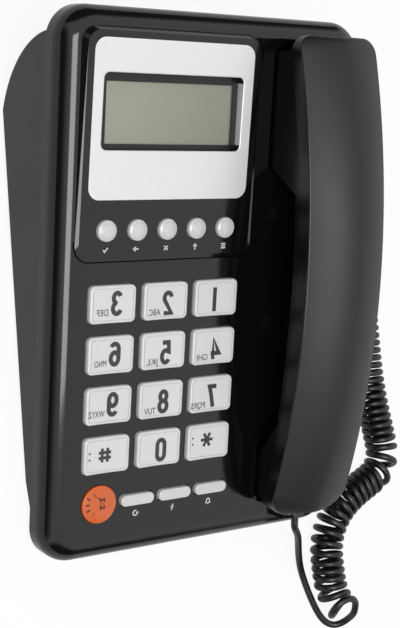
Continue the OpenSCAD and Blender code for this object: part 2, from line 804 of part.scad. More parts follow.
module loudspeaker() color("#55555a") on_face() translate([hs_x, speaker_y, -wall]) {
  translate([0, 0, -speaker_rim_t]) cylinder(r = speaker_r, h = speaker_rim_t);
  translate([0, 0, -speaker_rim_t - speaker_cone_h])
    cylinder(r1 = speaker_r - speaker_cone_in, r2 = speaker_r - speaker_rim_w, h = speaker_cone_h);
  translate([0, 0, -speaker_rim_t - speaker_cone_h - speaker_magnet_h])
    cylinder(r = speaker_r - speaker_magnet_in, h = speaker_magnet_h);
}

// A key with a flange that is wider by side to the left and right, and a dished top
module key_body(w, l, pr, er, h, side, dish) {
  dish_r = (pow(w / 2, 2) + pow(dish, 2)) / (2 * dish);
  difference() {
    translate([0, 0, h]) pillow(w, l, h - flange_top, pr, er);
    translate([0, 0, h - dish + dish_r]) rotate([90, 0, 0]) cylinder(r = dish_r, h = 2 * l, center = true);
  }
  plate(w + 2 * side, l + 2 * (key_clear + flange_w), pr, flange_top - flange_t, flange_top);
  translate([0, 0, stem_bottom]) cylinder(r = stem_r, h = stem_l);
}

module key(i) color("#ececec") on_face() translate([key_x(i), key_y(i), 0])
  key_body(key_w, key_l, key_r, key_edge_r, key_h, key_clear + flange_w, key_dish);

// A turned button: shank, flange with flats to the left and right, and stem, with a domed top
module round_body(r, h, dome, flat) {
  cap_r = (r * r + dome * dome) / (2 * dome);
  translate([0, 0, flange_top]) cylinder(r = r, h = h - dome - flange_top);
  intersection() {
    translate([0, 0, h - cap_r]) sphere(cap_r, $fn = 96);
    translate([0, 0, h - dome]) cylinder(r = r, h = dome + past);
  }
  translate([0, 0, flange_top - flange_t]) intersection() {
    cylinder(r = r + key_clear + flange_w, h = flange_t);
    translate([-flat, -far / 2, 0]) cube([2 * flat, far, flange_t]);
  }
  translate([0, 0, stem_bottom]) cylinder(r = stem_r, h = stem_l);
}

module display_button(i) color("#e8e8e6") on_face() translate([round_place(i), round_y, 0])
  round_body(round_r, round_h, round_dome, round_r);

module speaker_button() color("#e8602c") on_face() translate([speaker_button_x, function_y, 0])
  round_body(speaker_button_r, speaker_button_h, speaker_button_dome, speaker_button_r);

module oblong_button(i) color("#e8e8e6") on_face() translate([oblong_place(i), function_y, 0])
  key_body(oblong_l, oblong_w, oblong_w / 2 - end_flat, key_edge_r, oblong_h, 0, oblong_dish);

module hook_plunger() color("#202022") on_face() translate([hs_x, hook_y, 0]) {
  flange_low = hook_flange_top - hook_flange_t;
  plate(hook_w, hook_l, hook_r, flange_low, hook_top);
  plate(hook_w + 2 * hook_flange, hook_l + 2 * hook_flange, hook_r, flange_low, hook_flange_top);
  translate([0, 0, hook_stem_bottom]) cylinder(r = hook_stem_r, h = flange_low - hook_stem_bottom);
}

// The hook's return spring, wound from the switch up to the plunger's flange
spring_turns = 4;
spring_wire = 0.6;
spring_r = 2.3;

module hook_spring() color("#c9c9cc") on_face() translate([hs_x, hook_y, 0]) {
  low = guide_bottom + spring_wire / 2;
  high = hook_flange_top - hook_flange_t - seat - spring_wire / 2;
  steps = spring_turns * RINGS_PER_CURL;
  tube([for (k = [0:steps])
    [spring_r * cos(360 * k / RINGS_PER_CURL), spring_r * sin(360 * k / RINGS_PER_CURL),
     low + (high - low) * k / steps]], spring_wire, CORD_SIDES);
}

module hook_switch() color("#3d3d40") on_face() translate([hs_x, hook_y, 0])
  plate(guide_w, guide_l, hook_r, guide_bottom - switch_h, guide_bottom);

module rubber_feet() color("#1a1a1a")
  for (x = [-foot_x, foot_x], y = [foot_front_y, foot_rear_y])
    translate([x, y, 0]) cylinder(r = foot_r, h = foot_h);

// Outer block of the line socket, grown by a clearance where it passes the rear wall
module line_socket_block(grow) {
  w = line_mouth_w + 2 * socket_wall + 2 * grow;
  h = line_mouth_h + 2 * socket_wall + 2 * grow;
  translate([line_socket_x - w / 2, line_socket_row_y - socket_d - socket_wall - 3, line_socket_h - h / 2])
    cube([w, socket_d + socket_wall + 3 + (grow > 0 ? far : 0), h]);
}

module line_socket() color("#18181a") difference() {
  line_socket_block(0);
  translate([line_socket_x - line_mouth_w / 2, line_socket_row_y - socket_d, line_socket_h - line_mouth_h / 2])
    cube([line_mouth_w, socket_d + past, line_mouth_h]);
}

// Outer block of the body's cord socket, in the right side wall
module cord_socket_block(grow) {
  w = cord_mouth_w + 2 * socket_wall + 2 * grow;
  h = cord_mouth_h + 2 * socket_wall + 2 * grow;
  translate([wall_x - socket_d - socket_wall, cord_socket_row_y - w / 2, cord_socket_h - h / 2])
    cube([socket_d + socket_wall + (grow > 0 ? far : 0), w, h]);
}

module cord_socket() color("#18181a") difference() {
  cord_socket_block(0);
  translate([wall_x - socket_d, cord_socket_row_y - cord_mouth_w / 2, cord_socket_h - cord_mouth_h / 2])
    cube([socket_d + past, cord_mouth_w, cord_mouth_h]);
}

// A modular plug along +x: body inside the socket, neck outside, the cord's face at x = plug_outside
module plug() {
  translate([-plug_inside, -plug_w / 2, -plug_h / 2]) cube([plug_inside + plug_collar, plug_w, plug_h]);
  translate([0, -plug_w / 2 + neck_side, -plug_h / 2 + neck_top])
    cube([plug_outside, plug_w - 2 * neck_side, plug_h - 2 * neck_top]);
}

module base_plug() color([0.8, 0.8, 0.82, 0.8])
  translate([wall_x, cord_socket_row_y, cord_socket_h]) plug();

// Places a plug or socket on the handset's front end, along +x here, out of the end there
module on_handset_end() {
  on_face() translate([hs_x, hs_front, hs_socket_z]) rotate(-90) children();
}

module handset_plug() color([0.8, 0.8, 0.82, 0.8]) on_handset_end() plug();

module handset_socket_block(grow) {
  w = cord_mouth_w + 2 * socket_wall + 2 * grow;
  h = cord_mouth_h + 2 * socket_wall + 2 * grow;
  translate([-socket_d - socket_wall, -w / 2, -h / 2]) cube([socket_d + socket_wall + (grow > 0 ? past : 0), w, h]);
}

module handset_socket() color("#18181a") on_handset_end() difference() {
  handset_socket_block(0);
  translate([-socket_d, -cord_mouth_w / 2, -cord_mouth_h / 2]) cube([socket_d + past, cord_mouth_w, cord_mouth_h]);
}

// Half width of the handset's plan at a distance from its nearer end
function plan_half(d, w, r) = w / 2 - r + sqrt(pow(r, 2) - pow(max(r - d, 0), 2));
// Height of the crown at a distance from the nearer end
function crown_at(y) =
  let (half = hs_l / 2, near = max(crown_round - half + abs(y), 0))
  crown_edge + (crown_h - crown_edge) * sqrt(max(1 - pow(y / half, 2), 0))
  - crown_round + sqrt(max(pow(crown_round, 2) - pow(near, 2), 0));
// Height of the parting circle at a place along the handset
function parting(y) = arch_z + sqrt(pow(arch_r, 2) - pow(y - hs_y, 2));

// The crown's shell form, inset by a wall, as a loft of domed sections
CROWN_STEPS = 30;
CROWN_POINTS = 14;
CROWN_FORM = 0.85;
module crown(inset) {
  half = hs_l / 2 - inset;
  r = hs_corner_r - inset;
  loft([for (i = [0:CROWN_STEPS])
    let (y = -half * cos(180 * i / CROWN_STEPS), d = half - abs(y),
         w = plan_half(d, hs_w - 2 * inset, r), h = max(crown_at(y) - inset, 0.3),
         z = parting(hs_y + y) + seam)
    concat([for (k = [0:CROWN_POINTS])
      let (a = 180 * k / CROWN_POINTS, c = cos(a), s = sin(a))
      [hs_x + w * sign(c) * pow(abs(c), CROWN_FORM), hs_y + y, z + h * pow(s, CROWN_FORM)]],
      inset > 0 ? [[hs_x - w, hs_y + y, z - past], [hs_x + w, hs_y + y, z - past]] : [])]);
}

// The handset's plan outline through its whole height
module handset_plan(inset) {
  translate([hs_x, hs_y, -far]) linear_extrude(2 * far)
    rounded_rect(hs_w - 2 * inset, hs_l - 2 * inset, hs_corner_r - inset);
}

// Side view of the lower shell below the parting circle: grip, ear block and mouth block
module lower_side(inset) {
  floor_z = block_bottom + inset;
  intersection() {
    translate([hs_y, arch_z]) circle(arch_r + (inset > 0 ? past : 0), $fn = 720);
    union() {
      difference() {
        translate([hs_front + inset, 0]) square([hs_l - 2 * inset, far]);
        translate([hs_y, grip_bottom + inset - grip_r]) circle(grip_r, $fn = 720);
      }
      polygon([[ear_rear - inset, floor_z], [ear_front + inset, floor_z], [ear_front + inset, ear_foot],
               [ear_front - ear_run + inset, grip_bottom + inset], [ear_front - ear_run + inset, arch_top],
               [ear_rear - inset, arch_top]]);
      polygon([[hs_front + inset, mouth_h + inset], [mouth_rear - inset, mouth_h + inset],
               [mouth_rear + mouth_run, grip_bottom], [mouth_rear + mouth_run, arch_top],
               [hs_front + inset, arch_top]]);
    }
  }
}

module handset_band() {
  across(far) intersection() {
    translate([hs_y, arch_z]) circle(arch_r, $fn = 720);
    difference() {
      translate([hs_front - past, mouth_h]) square([hs_l + 2 * past, far]);
      translate([hs_y, arch_z]) circle(arch_r - band_h, $fn = 720);
    }
  }
}

module mouth_pad(inset) {
  translate([hs_x, pad_y, 0])
    plate(pad_w - 2 * inset, pad_l - 2 * inset, pad_r - min(inset, pad_r - 1), block_bottom + inset, mouth_h + hs_wall + past);
}

hs_post_top = parting(hs_y + hs_screw_y + hs_post_r) + crown_at(hs_screw_y + hs_post_r) - hs_wall / 2;

module handset_outer_shell() color("#3a3a3c") on_face() difference() {
  union() {
    difference() {
      crown(0);
      crown(hs_wall);
    }
    handset_screw_places() translate([0, 0, hs_post_bottom])
      cylinder(r = hs_post_r, h = hs_post_top - hs_post_bottom, $fn = 24);
  }
  handset_screw_places() translate([0, 0, hs_post_bottom - past])
    cylinder(r = screw_r + screw_clear, h = past + hs_screw_l, $fn = 24);
}

module handset_inner_shell() color("#242426") on_face() difference() {
  union() {
    intersection() {
      handset_plan(0);
      handset_band();
    }
    intersection() {
      handset_plan(band_step);
      across(far) lower_side(0);
    }
    mouth_pad(0);
  }
  difference() {
    intersection() {
      handset_plan(band_step + hs_wall);
      across(far) lower_side(hs_wall);
    }
    handset_screw_places() translate([0, 0, grip_bottom - past])
      cylinder(r = hs_post_r + hs_wall, h = hs_post_bottom - grip_bottom + past);
  }
  mouth_pad(hs_wall);
  translate([hs_x, hs_front, hs_socket_z]) rotate(-90) handset_socket_block(plug_clear);
  ear_holes();
  translate([hs_x, pad_y + mic_setback, block_bottom - past]) cylinder(r = mic_hole_r, h = 2 * past + hs_wall);
  handset_screw_places() {
    translate([0, 0, -far]) cylinder(r = screw_r + screw_clear, h = far + arch_top);
    translate([0, 0, -far]) cylinder(r = head_r + head_clear, h = far + hs_head_seat);
  }
}

// Sound holes under the earpiece: one in the middle and a ring of six
module ear_holes() {
  for (i = [0:6])
    translate([hs_x, ear_y, block_bottom - past])
      rotate(60 * i) translate([i == 0 ? 0 : ear_ring_r, 0, 0]) cylinder(r = ear_hole_r, h = 2 * past + hs_wall);
}

module earpiece() color("#55555a") on_face() translate([hs_x, ear_y, block_bottom + hs_wall]) {
  difference() {
    cylinder(r = earpiece_r, h = earpiece_h);
    translate([0, 0, -past]) cylinder(r = earpiece_mouth_r, h = earpiece_mouth_h + past);
  }
  translate([0, 0, earpiece_h]) cylinder(r = earpiece_magnet_r, h = earpiece_magnet_h);
}

module microphone() color("#8f8f94") on_face() translate([hs_x, pad_y + mic_setback, block_bottom + hs_wall]) difference() {
  cylinder(r = mic_r, h = mic_h);
  translate([0, 0, -past]) cylinder(r = mic_mouth_r, h = past + mic_mouth_h);
}

// Screws in the grip, from below into the outer shell
module handset_screw_places() {
  for (y = [-1, 1]) translate([hs_x, hs_y + y * hs_screw_y, 0]) children();
}

module handset_screws() color("#b8b8ba") on_face() handset_screw_places()
  translate([0, 0, hs_head_seat]) screw(screw_r, hs_screw_l, head_h);

// Steel bar that gives the handset its weight, on the grip's floor
module handset_weight() color("#77777a") on_face()
  translate([hs_x - weight_w / 2, hs_y - weight_l / 2, grip_bottom + hs_wall]) cube([weight_w, weight_l, weight_h]);

// The curls: samples of the axis, the turn at each, and the points of the cord
axis_path = curve([for (p = COIL_AXIS) p + [0, 0, coil_axis_h]], CURVE_STEPS);
axis_turn = let (t = directions(axis_path))
  [for (i = [0:len(axis_path) - 2])
    let (step = norm(axis_path[i + 1] - axis_path[i]),
         bend = norm(t[i + 1] - t[i]) / max(step, 0.001))
    step * (1 - min(coil_r * bend, 0.8))];
axis_sum = running_sum(axis_turn);
coil_last = curls * 360 + COIL_LEAVE;
coil_angle = coil_last - COIL_FROM;
turn_table = [for (s = axis_sum) COIL_FROM + s / axis_sum[len(axis_sum) - 1] * coil_angle];
axis_table = [for (c = [0:2]) [for (i = [0:len(axis_path) - 1]) [turn_table[i], axis_path[i][c]]]];
function on_axis(a) = [for (c = [0:2]) lookup(a, axis_table[c])];

// A point of the helix at a turn angle: 0 on the left going up, 90 on top
function helix(a) =
  let (t = unit(on_axis(a + 20) - on_axis(a - 20)), side = unit([t[1], -t[0], 0]))
  on_axis(a) + coil_r * (side * cos(a) + cross(side, t) * sin(a));

coil_steps = floor(coil_angle * RINGS_PER_CURL / 360);
coil_path = [for (k = [0:coil_steps]) helix(COIL_FROM + k * coil_angle / coil_steps)];

function face_point(p) =
  [p[0], shift_y + p[1] * cos(tilt) - p[2] * sin(tilt), face_h + p[1] * sin(tilt) + p[2] * cos(tilt)];

coil_start = coil_path[0];
coil_end = coil_path[len(coil_path) - 1];
// Each tail starts straight and square to its plug, and joins the curls in their own direction
base_cord_end = [wall_x + plug_outside, cord_socket_row_y, cord_socket_h];
base_cord_lead = base_cord_end + [cord_d, 0, 0];
handset_cord_end = face_point([hs_x, hs_front - plug_outside - seat, hs_socket_z]);
handset_cord_lead = face_point([hs_x, hs_front - plug_outside - seat - cord_d, hs_socket_z]);
coil_in = unit(helix(COIL_FROM + 2) - helix(COIL_FROM));
coil_out = unit(helix(coil_last) - helix(coil_last - 2));
base_points = let (n = len(BASE_TAIL)) [for (i = [0:n - 1])
  BASE_TAIL[i] + (base_cord_end - BASE_HOME) * (n - i) / (n + 1)];
handset_points = let (n = len(HANDSET_TAIL)) [for (i = [0:n - 1])
  let (p = HANDSET_TAIL[i] + (handset_cord_end - HANDSET_HOME) * pow((i + 1) / (n + 1), 2))
  [p[0], p[1], max(p[2], tail_h)]];
base_tail = even(curve(concat([base_cord_lead, 2 * base_cord_lead - base_cord_end], base_points,
                              [coil_start - cord_d * coil_in, coil_start]), CURVE_STEPS), tail_step);
handset_tail = even(curve(concat([coil_end, coil_end + cord_d * coil_out], handset_points,
                                 [2 * handset_cord_lead - handset_cord_end, handset_cord_lead]),
                          CURVE_STEPS), tail_step);
cord_path = concat([base_cord_end], [for (i = [0:len(base_tail) - 2]) base_tail[i]], coil_path,
                   [for (i = [1:len(handset_tail) - 1]) handset_tail[i]], [handset_cord_end]);

module curly_cord() color("#1d1d1f") {
  n = len(cord_path);
  s = along(cord_path);
  gap = min([for (i = [0:n - 1], j = [i + 1:n - 1]) if (s[j] - s[i] > 4 * cord_d)
    norm(cord_path[i] - cord_path[j])]) - cord_d;
  echo(least_gap = gap, cord_length = s[n - 1], rings = n, curl_step = axis_sum[len(axis_sum) - 1] * 360 / coil_angle);
  tube(cord_path, cord_d, CORD_SIDES);
}

top_cover();
bottom_cover();
display_panel();
display_plate();
display_lens();
lcd_glass();
lcd_holder();
key_mat();
main_board();
board_screws();
loudspeaker();
hook_plunger();
hook_spring();
hook_switch();
line_socket();
cord_socket();
rubber_feet();
case_screws();
for (i = [0:len(KEY_NODES) - 1]) key(i);
for (i = [0:ROUND_COUNT - 1]) display_button(i);
speaker_button();
for (i = [0:len(OBLONG_NAMES) - 1]) oblong_button(i);
handset_outer_shell();
handset_inner_shell();
earpiece();
microphone();
handset_weight();
handset_socket();
handset_screws();
handset_plug();
base_plug();
curly_cord();
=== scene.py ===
"""Dresses a push-button desk telephone: finishes, keys, legends, handset crown and curly cord.

Lengths in the classes are millimetres, apart from the studio's table, lamp and near limit, which are metres.
The face frame lies on the sloped face of the body, with x to the right, y to the rear and z out of the face.
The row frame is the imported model's own, in metres.
"""

import bisect
import logging
import math
from collections.abc import Callable, Sequence
from dataclasses import dataclass, field
from enum import Enum

import bpy
from mathutils import Matrix, Vector

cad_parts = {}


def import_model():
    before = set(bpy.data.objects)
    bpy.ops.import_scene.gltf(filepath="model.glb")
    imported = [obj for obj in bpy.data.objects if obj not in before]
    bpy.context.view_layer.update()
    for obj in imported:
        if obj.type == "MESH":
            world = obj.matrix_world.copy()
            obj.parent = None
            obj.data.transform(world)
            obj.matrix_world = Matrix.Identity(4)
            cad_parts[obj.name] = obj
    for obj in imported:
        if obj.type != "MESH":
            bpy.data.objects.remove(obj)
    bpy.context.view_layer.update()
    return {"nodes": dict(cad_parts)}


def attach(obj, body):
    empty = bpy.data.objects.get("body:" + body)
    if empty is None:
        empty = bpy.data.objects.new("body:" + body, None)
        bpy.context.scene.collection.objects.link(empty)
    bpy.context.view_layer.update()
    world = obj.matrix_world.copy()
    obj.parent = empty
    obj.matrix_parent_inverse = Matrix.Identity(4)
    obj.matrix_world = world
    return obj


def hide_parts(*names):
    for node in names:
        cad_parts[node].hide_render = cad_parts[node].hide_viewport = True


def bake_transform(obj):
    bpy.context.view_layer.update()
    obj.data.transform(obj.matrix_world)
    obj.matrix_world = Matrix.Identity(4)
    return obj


LOG = logging.getLogger("desk_telephone")
MM = 0.001
# A hair's breadth in millimetres, between surfaces that would otherwise lie in one another
HAIR = 0.01
# Keeps a share of a very short step from being a division by zero
TINY = 1e-9
Point2 = tuple[float, float]
Point3 = tuple[float, float, float]
Placer = Callable[[float, float, float], Vector]


class LegendHand(Enum):
    """Which way round the printed legends stand on the keys."""

    AS_PHOTOGRAPHED = -1
    RIGHT_READING = 1


class KeySign(Enum):
    """Printed sign of each key, by its node's name, in rows from the rear and from left to right."""

    KEY_3 = "3"
    KEY_2 = "2"
    KEY_1 = "1"
    KEY_6 = "6"
    KEY_5 = "5"
    KEY_4 = "4"
    KEY_9 = "9"
    KEY_8 = "8"
    KEY_7 = "7"
    KEY_HASH = "#"
    KEY_0 = "0"
    KEY_STAR = "*"


def linear(hex_colour: str, share: float = 1.0) -> tuple[float, float, float, float]:
    """Turn an sRGB colour into Blender's linear one.

    Args:
        hex_colour: colour as six hex digits after a hash sign.
        share: how much of its light is kept.

    Returns:
        Linear red, green, blue and an alpha of 1.
    """
    levels = [int(hex_colour[i:i + 2], 16) / 255 for i in (1, 3, 5)]
    lit = [s / 12.92 if s <= 0.04045 else ((s + 0.055) / 1.055) ** 2.4 for s in levels]
    return (lit[0] * share, lit[1] * share, lit[2] * share, 1.0)


def add_node(tree: bpy.types.NodeTree, kind: str, settings: dict | None = None,
             links: dict | None = None) -> bpy.types.Node:
    """Add one shader node.

    Args:
        tree: node tree that gets the node.
        kind: Blender's name of the node type.
        settings: values by input socket, or by attribute where no socket has the name.
        links: output sockets of other nodes by the input socket that they feed.

    Returns:
        The new node.
    """
    node = tree.nodes.new(kind)
    for key, value in (settings or {}).items():
        if isinstance(key, int) or key in node.inputs:
            node.inputs[key].default_value = value
        else:
            setattr(node, key, value)
    for key, socket in (links or {}).items():
        tree.links.new(socket, node.inputs[key])
    return node


def new_material(name: str) -> tuple[bpy.types.Material, bpy.types.NodeTree]:
    """Make an empty node material.

    Args:
        name: the material's name.

    Returns:
        The material and its node tree, with only an output node.
    """
    material = bpy.data.materials.new(name)
    material.use_nodes = True
    tree = material.node_tree
    tree.nodes.clear()
    add_node(tree, "ShaderNodeOutputMaterial")
    return material, tree


def show(tree: bpy.types.NodeTree, surface: bpy.types.NodeSocket) -> None:
    """Send a shader to the material's output.

    Args:
        tree: the material's node tree.
        surface: output socket of the shader.
    """
    output = next(node for node in tree.nodes if node.type == "OUTPUT_MATERIAL")
    tree.links.new(surface, output.inputs["Surface"])


@dataclass(frozen=True)
class MouldedPlastic:
    """A moulded plastic, from mirror-polished to spark-eroded moulds.

    The mould's waviness bends reflections over some millimetres, its grain breaks them up finely, handling
    makes the gloss uneven, and the colour varies a little from place to place.
    """

    name: str
    colour: str
    roughness: float
    uneven: float = 0.04
    ior: float = 1.53
    wave_mm: float = 14.0
    wave_depth_mm: float = 0.004
    grain_mm: float = 0.6
    grain_depth_mm: float = 0.0
    smudge_mm: float = 22.0
    tone_mm: float = 45.0
    tone_share: float = 0.88
    coat: float = 0.0
    coat_roughness: float = 0.06
    glow: float = 0.0
    glow_mm: float = 1.2

    def make(self) -> bpy.types.Material:
        """Build the material.

        Returns:
            The node material.
        """
        material, tree = new_material(self.name)
        places = add_node(tree, "ShaderNodeTexCoord").outputs["Object"]
        smudge = add_node(tree, "ShaderNodeTexNoise", {"Scale": 1 / (self.smudge_mm * MM), "Detail": 4.0},
                          {"Vector": places})
        gloss = add_node(tree, "ShaderNodeMapRange", {
            "From Min": 0.3, "From Max": 0.7,
            "To Min": max(self.roughness - self.uneven, 0.02), "To Max": self.roughness + self.uneven,
        }, {"Value": smudge.outputs["Fac"]})
        wave = add_node(tree, "ShaderNodeTexNoise", {"Scale": 1 / (self.wave_mm * MM), "Detail": 1.0},
                        {"Vector": places})
        bend = add_node(tree, "ShaderNodeBump", {"Strength": 1.0, "Distance": self.wave_depth_mm * MM},
                        {"Height": wave.outputs["Fac"]})
        normal = bend.outputs["Normal"]
        if self.grain_depth_mm > 0:
            grain = add_node(tree, "ShaderNodeTexNoise", {"Scale": 1 / (self.grain_mm * MM), "Detail": 2.0},
                             {"Vector": places})
            rough = add_node(tree, "ShaderNodeBump", {"Strength": 1.0, "Distance": self.grain_depth_mm * MM},
                             {"Height": grain.outputs["Fac"], "Normal": normal})
            normal = rough.outputs["Normal"]
        tone = add_node(tree, "ShaderNodeTexNoise", {"Scale": 1 / (self.tone_mm * MM), "Detail": 3.0},
                        {"Vector": places})
        shade = add_node(tree, "ShaderNodeMix", {
            "data_type": "RGBA", "blend_type": "MIX",
            6: linear(self.colour), 7: linear(self.colour, self.tone_share),
        }, {0: tone.outputs["Fac"]})
        shader = add_node(tree, "ShaderNodeBsdfPrincipled", {
            "IOR": self.ior, "Coat Weight": self.coat, "Coat Roughness": self.coat_roughness,
            "Subsurface Weight": self.glow, "Subsurface Scale": self.glow_mm * MM,
            "Subsurface Radius": (1.0, 1.0, 1.0),
        }, {"Base Color": shade.outputs[2], "Roughness": gloss.outputs["Result"], "Normal": normal})
        show(tree, shader.outputs["BSDF"])
        return material


@dataclass(frozen=True)
class MetallicLacquer:
    """Silver lacquer on a plastic sheet: fine metal flakes under a thin clear film, with a soft sheen."""

    name: str
    colour: str
    metallic: float
    roughness: float = 0.38
    flake_mm: float = 0.35
    flake_share: float = 0.94
    tilt_mm: float = 0.004
    film: float = 0.25
    film_roughness: float = 0.12

    def make(self) -> bpy.types.Material:
        """Build the material.

        Returns:
            The node material.
        """
        material, tree = new_material(self.name)
        places = add_node(tree, "ShaderNodeTexCoord").outputs["Object"]
        # Real flakes are some hundredths of a millimetre wide; these are drawn coarser so that they show
        flakes = add_node(tree, "ShaderNodeTexVoronoi", {"Scale": 1 / (self.flake_mm * MM)},
                          {"Vector": places})
        tint = add_node(tree, "ShaderNodeMapRange", {"To Min": self.flake_share, "To Max": 1.0},
                        {"Value": flakes.outputs["Color"]})
        colour = add_node(tree, "ShaderNodeMix", {
            "data_type": "RGBA", "blend_type": "MULTIPLY", 0: 1.0, 6: linear(self.colour),
        }, {7: tint.outputs["Result"]})
        tilt = add_node(tree, "ShaderNodeBump", {"Strength": 0.5, "Distance": self.tilt_mm * MM},
                        {"Height": flakes.outputs["Distance"]})
        shader = add_node(tree, "ShaderNodeBsdfPrincipled", {
            "Metallic": self.metallic, "Roughness": self.roughness,
            "Coat Weight": self.film, "Coat Roughness": self.film_roughness,
        }, {"Base Color": colour.outputs[2], "Normal": tilt.outputs["Normal"]})
        show(tree, shader.outputs["BSDF"])
        return material


@dataclass(frozen=True)
class ClearResin:
    """A clear resin, such as acrylic or polycarbonate: bright edges and a faint haze.

    A thin pane lets light straight through under its reflections, and a thick piece bends it.
    """

    name: str
    colour: str
    ior: float
    roughness: float = 0.03
    thin: bool = False
    flow_mm: float = 6.0
    haze: float = 0.05

    def make(self) -> bpy.types.Material:
        """Build the material.

        Returns:
            The node material.
        """
        material, tree = new_material(self.name)
        places = add_node(tree, "ShaderNodeTexCoord").outputs["Object"]
        flow = add_node(tree, "ShaderNodeTexNoise", {"Scale": 1 / (self.flow_mm * MM), "Detail": 1.0},
                        {"Vector": places})
        haze = add_node(tree, "ShaderNodeMapRange", {
            "To Min": self.roughness, "To Max": self.roughness + self.haze,
        }, {"Value": flow.outputs["Fac"]})
        if self.thin:
            share = add_node(tree, "ShaderNodeFresnel", {"IOR": self.ior})
            clear = add_node(tree, "ShaderNodeBsdfTransparent", {"Color": linear(self.colour)})
            sheen = add_node(tree, "ShaderNodeBsdfAnisotropic", None, {"Roughness": haze.outputs["Result"]})
            pane = add_node(tree, "ShaderNodeMixShader", None,
                            {0: share.outputs[0], 1: clear.outputs["BSDF"], 2: sheen.outputs["BSDF"]})
            surface = pane.outputs["Shader"]
        else:
            block = add_node(tree, "ShaderNodeBsdfPrincipled", {
                "Base Color": linear(self.colour), "Transmission Weight": 1.0, "IOR": self.ior,
            }, {"Roughness": haze.outputs["Result"]})
            surface = block.outputs["BSDF"]
        show(tree, surface)
        return material


@dataclass(frozen=True)
class LiquidCrystal:
    """An unlit liquid crystal display: grey-green polariser over a reflector with a fine mottle.

    Its colour goes darker from the left end to the right end, as painted shading.
    """

    name: str
    colour: str
    shaded_colour: str
    left_mm: float
    right_mm: float
    mottle_mm: float = 0.5
    mottle: float = 0.05
    roughness: float = 0.35
    ior: float = 1.5

    def make(self) -> bpy.types.Material:
        """Build the material.

        Returns:
            The node material.
        """
        material, tree = new_material(self.name)
        places = add_node(tree, "ShaderNodeTexCoord").outputs["Object"]
        across = add_node(tree, "ShaderNodeSeparateXYZ", None, {"Vector": places})
        # Painted shading: the colour darkens across the glass from its left end to its right end
        share = add_node(tree, "ShaderNodeMapRange", {
            "From Min": self.left_mm * MM, "From Max": self.right_mm * MM,
        }, {"Value": across.outputs["X"]})
        ramp = add_node(tree, "ShaderNodeMix", {
            "data_type": "RGBA", 6: linear(self.colour), 7: linear(self.shaded_colour),
        }, {0: share.outputs["Result"]})
        mottle = add_node(tree, "ShaderNodeTexNoise", {"Scale": 1 / (self.mottle_mm * MM), "Detail": 2.0},
                          {"Vector": places})
        tint = add_node(tree, "ShaderNodeMapRange", {"To Min": 1 - self.mottle, "To Max": 1 + self.mottle},
                        {"Value": mottle.outputs["Fac"]})
        colour = add_node(tree, "ShaderNodeMix", {"data_type": "RGBA", "blend_type": "MULTIPLY", 0: 1.0},
                          {6: ramp.outputs[2], 7: tint.outputs["Result"]})
        shader = add_node(tree, "ShaderNodeBsdfPrincipled", {"Roughness": self.roughness, "IOR": self.ior},
                          {"Base Color": colour.outputs[2]})
        show(tree, shader.outputs["BSDF"])
        return material


@dataclass(frozen=True)
class PlatedMetal:
    """Plated steel, turned or pressed: bright, finely uneven in its gloss, and a little tarnished."""

    name: str
    colour: str
    roughness: float = 0.28
    polished: float = 0.1
    dulled: float = 0.15
    patch_mm: float = 0.25
    tarnish_share: float = 0.7

    def make(self) -> bpy.types.Material:
        """Build the material.

        Returns:
            The node material.
        """
        material, tree = new_material(self.name)
        places = add_node(tree, "ShaderNodeTexCoord").outputs["Object"]
        patches = add_node(tree, "ShaderNodeTexNoise", {"Scale": 1 / (self.patch_mm * MM), "Detail": 3.0},
                           {"Vector": places})
        gloss = add_node(tree, "ShaderNodeMapRange", {
            "To Min": self.roughness - self.polished, "To Max": self.roughness + self.dulled,
        }, {"Value": patches.outputs["Fac"]})
        dull = add_node(tree, "ShaderNodeMix", {
            "data_type": "RGBA", 6: linear(self.colour), 7: linear(self.colour, self.tarnish_share),
        }, {0: patches.outputs["Fac"]})
        shader = add_node(tree, "ShaderNodeBsdfPrincipled", {"Metallic": 1.0},
                          {"Base Color": dull.outputs[2], "Roughness": gloss.outputs["Result"]})
        show(tree, shader.outputs["BSDF"])
        return material


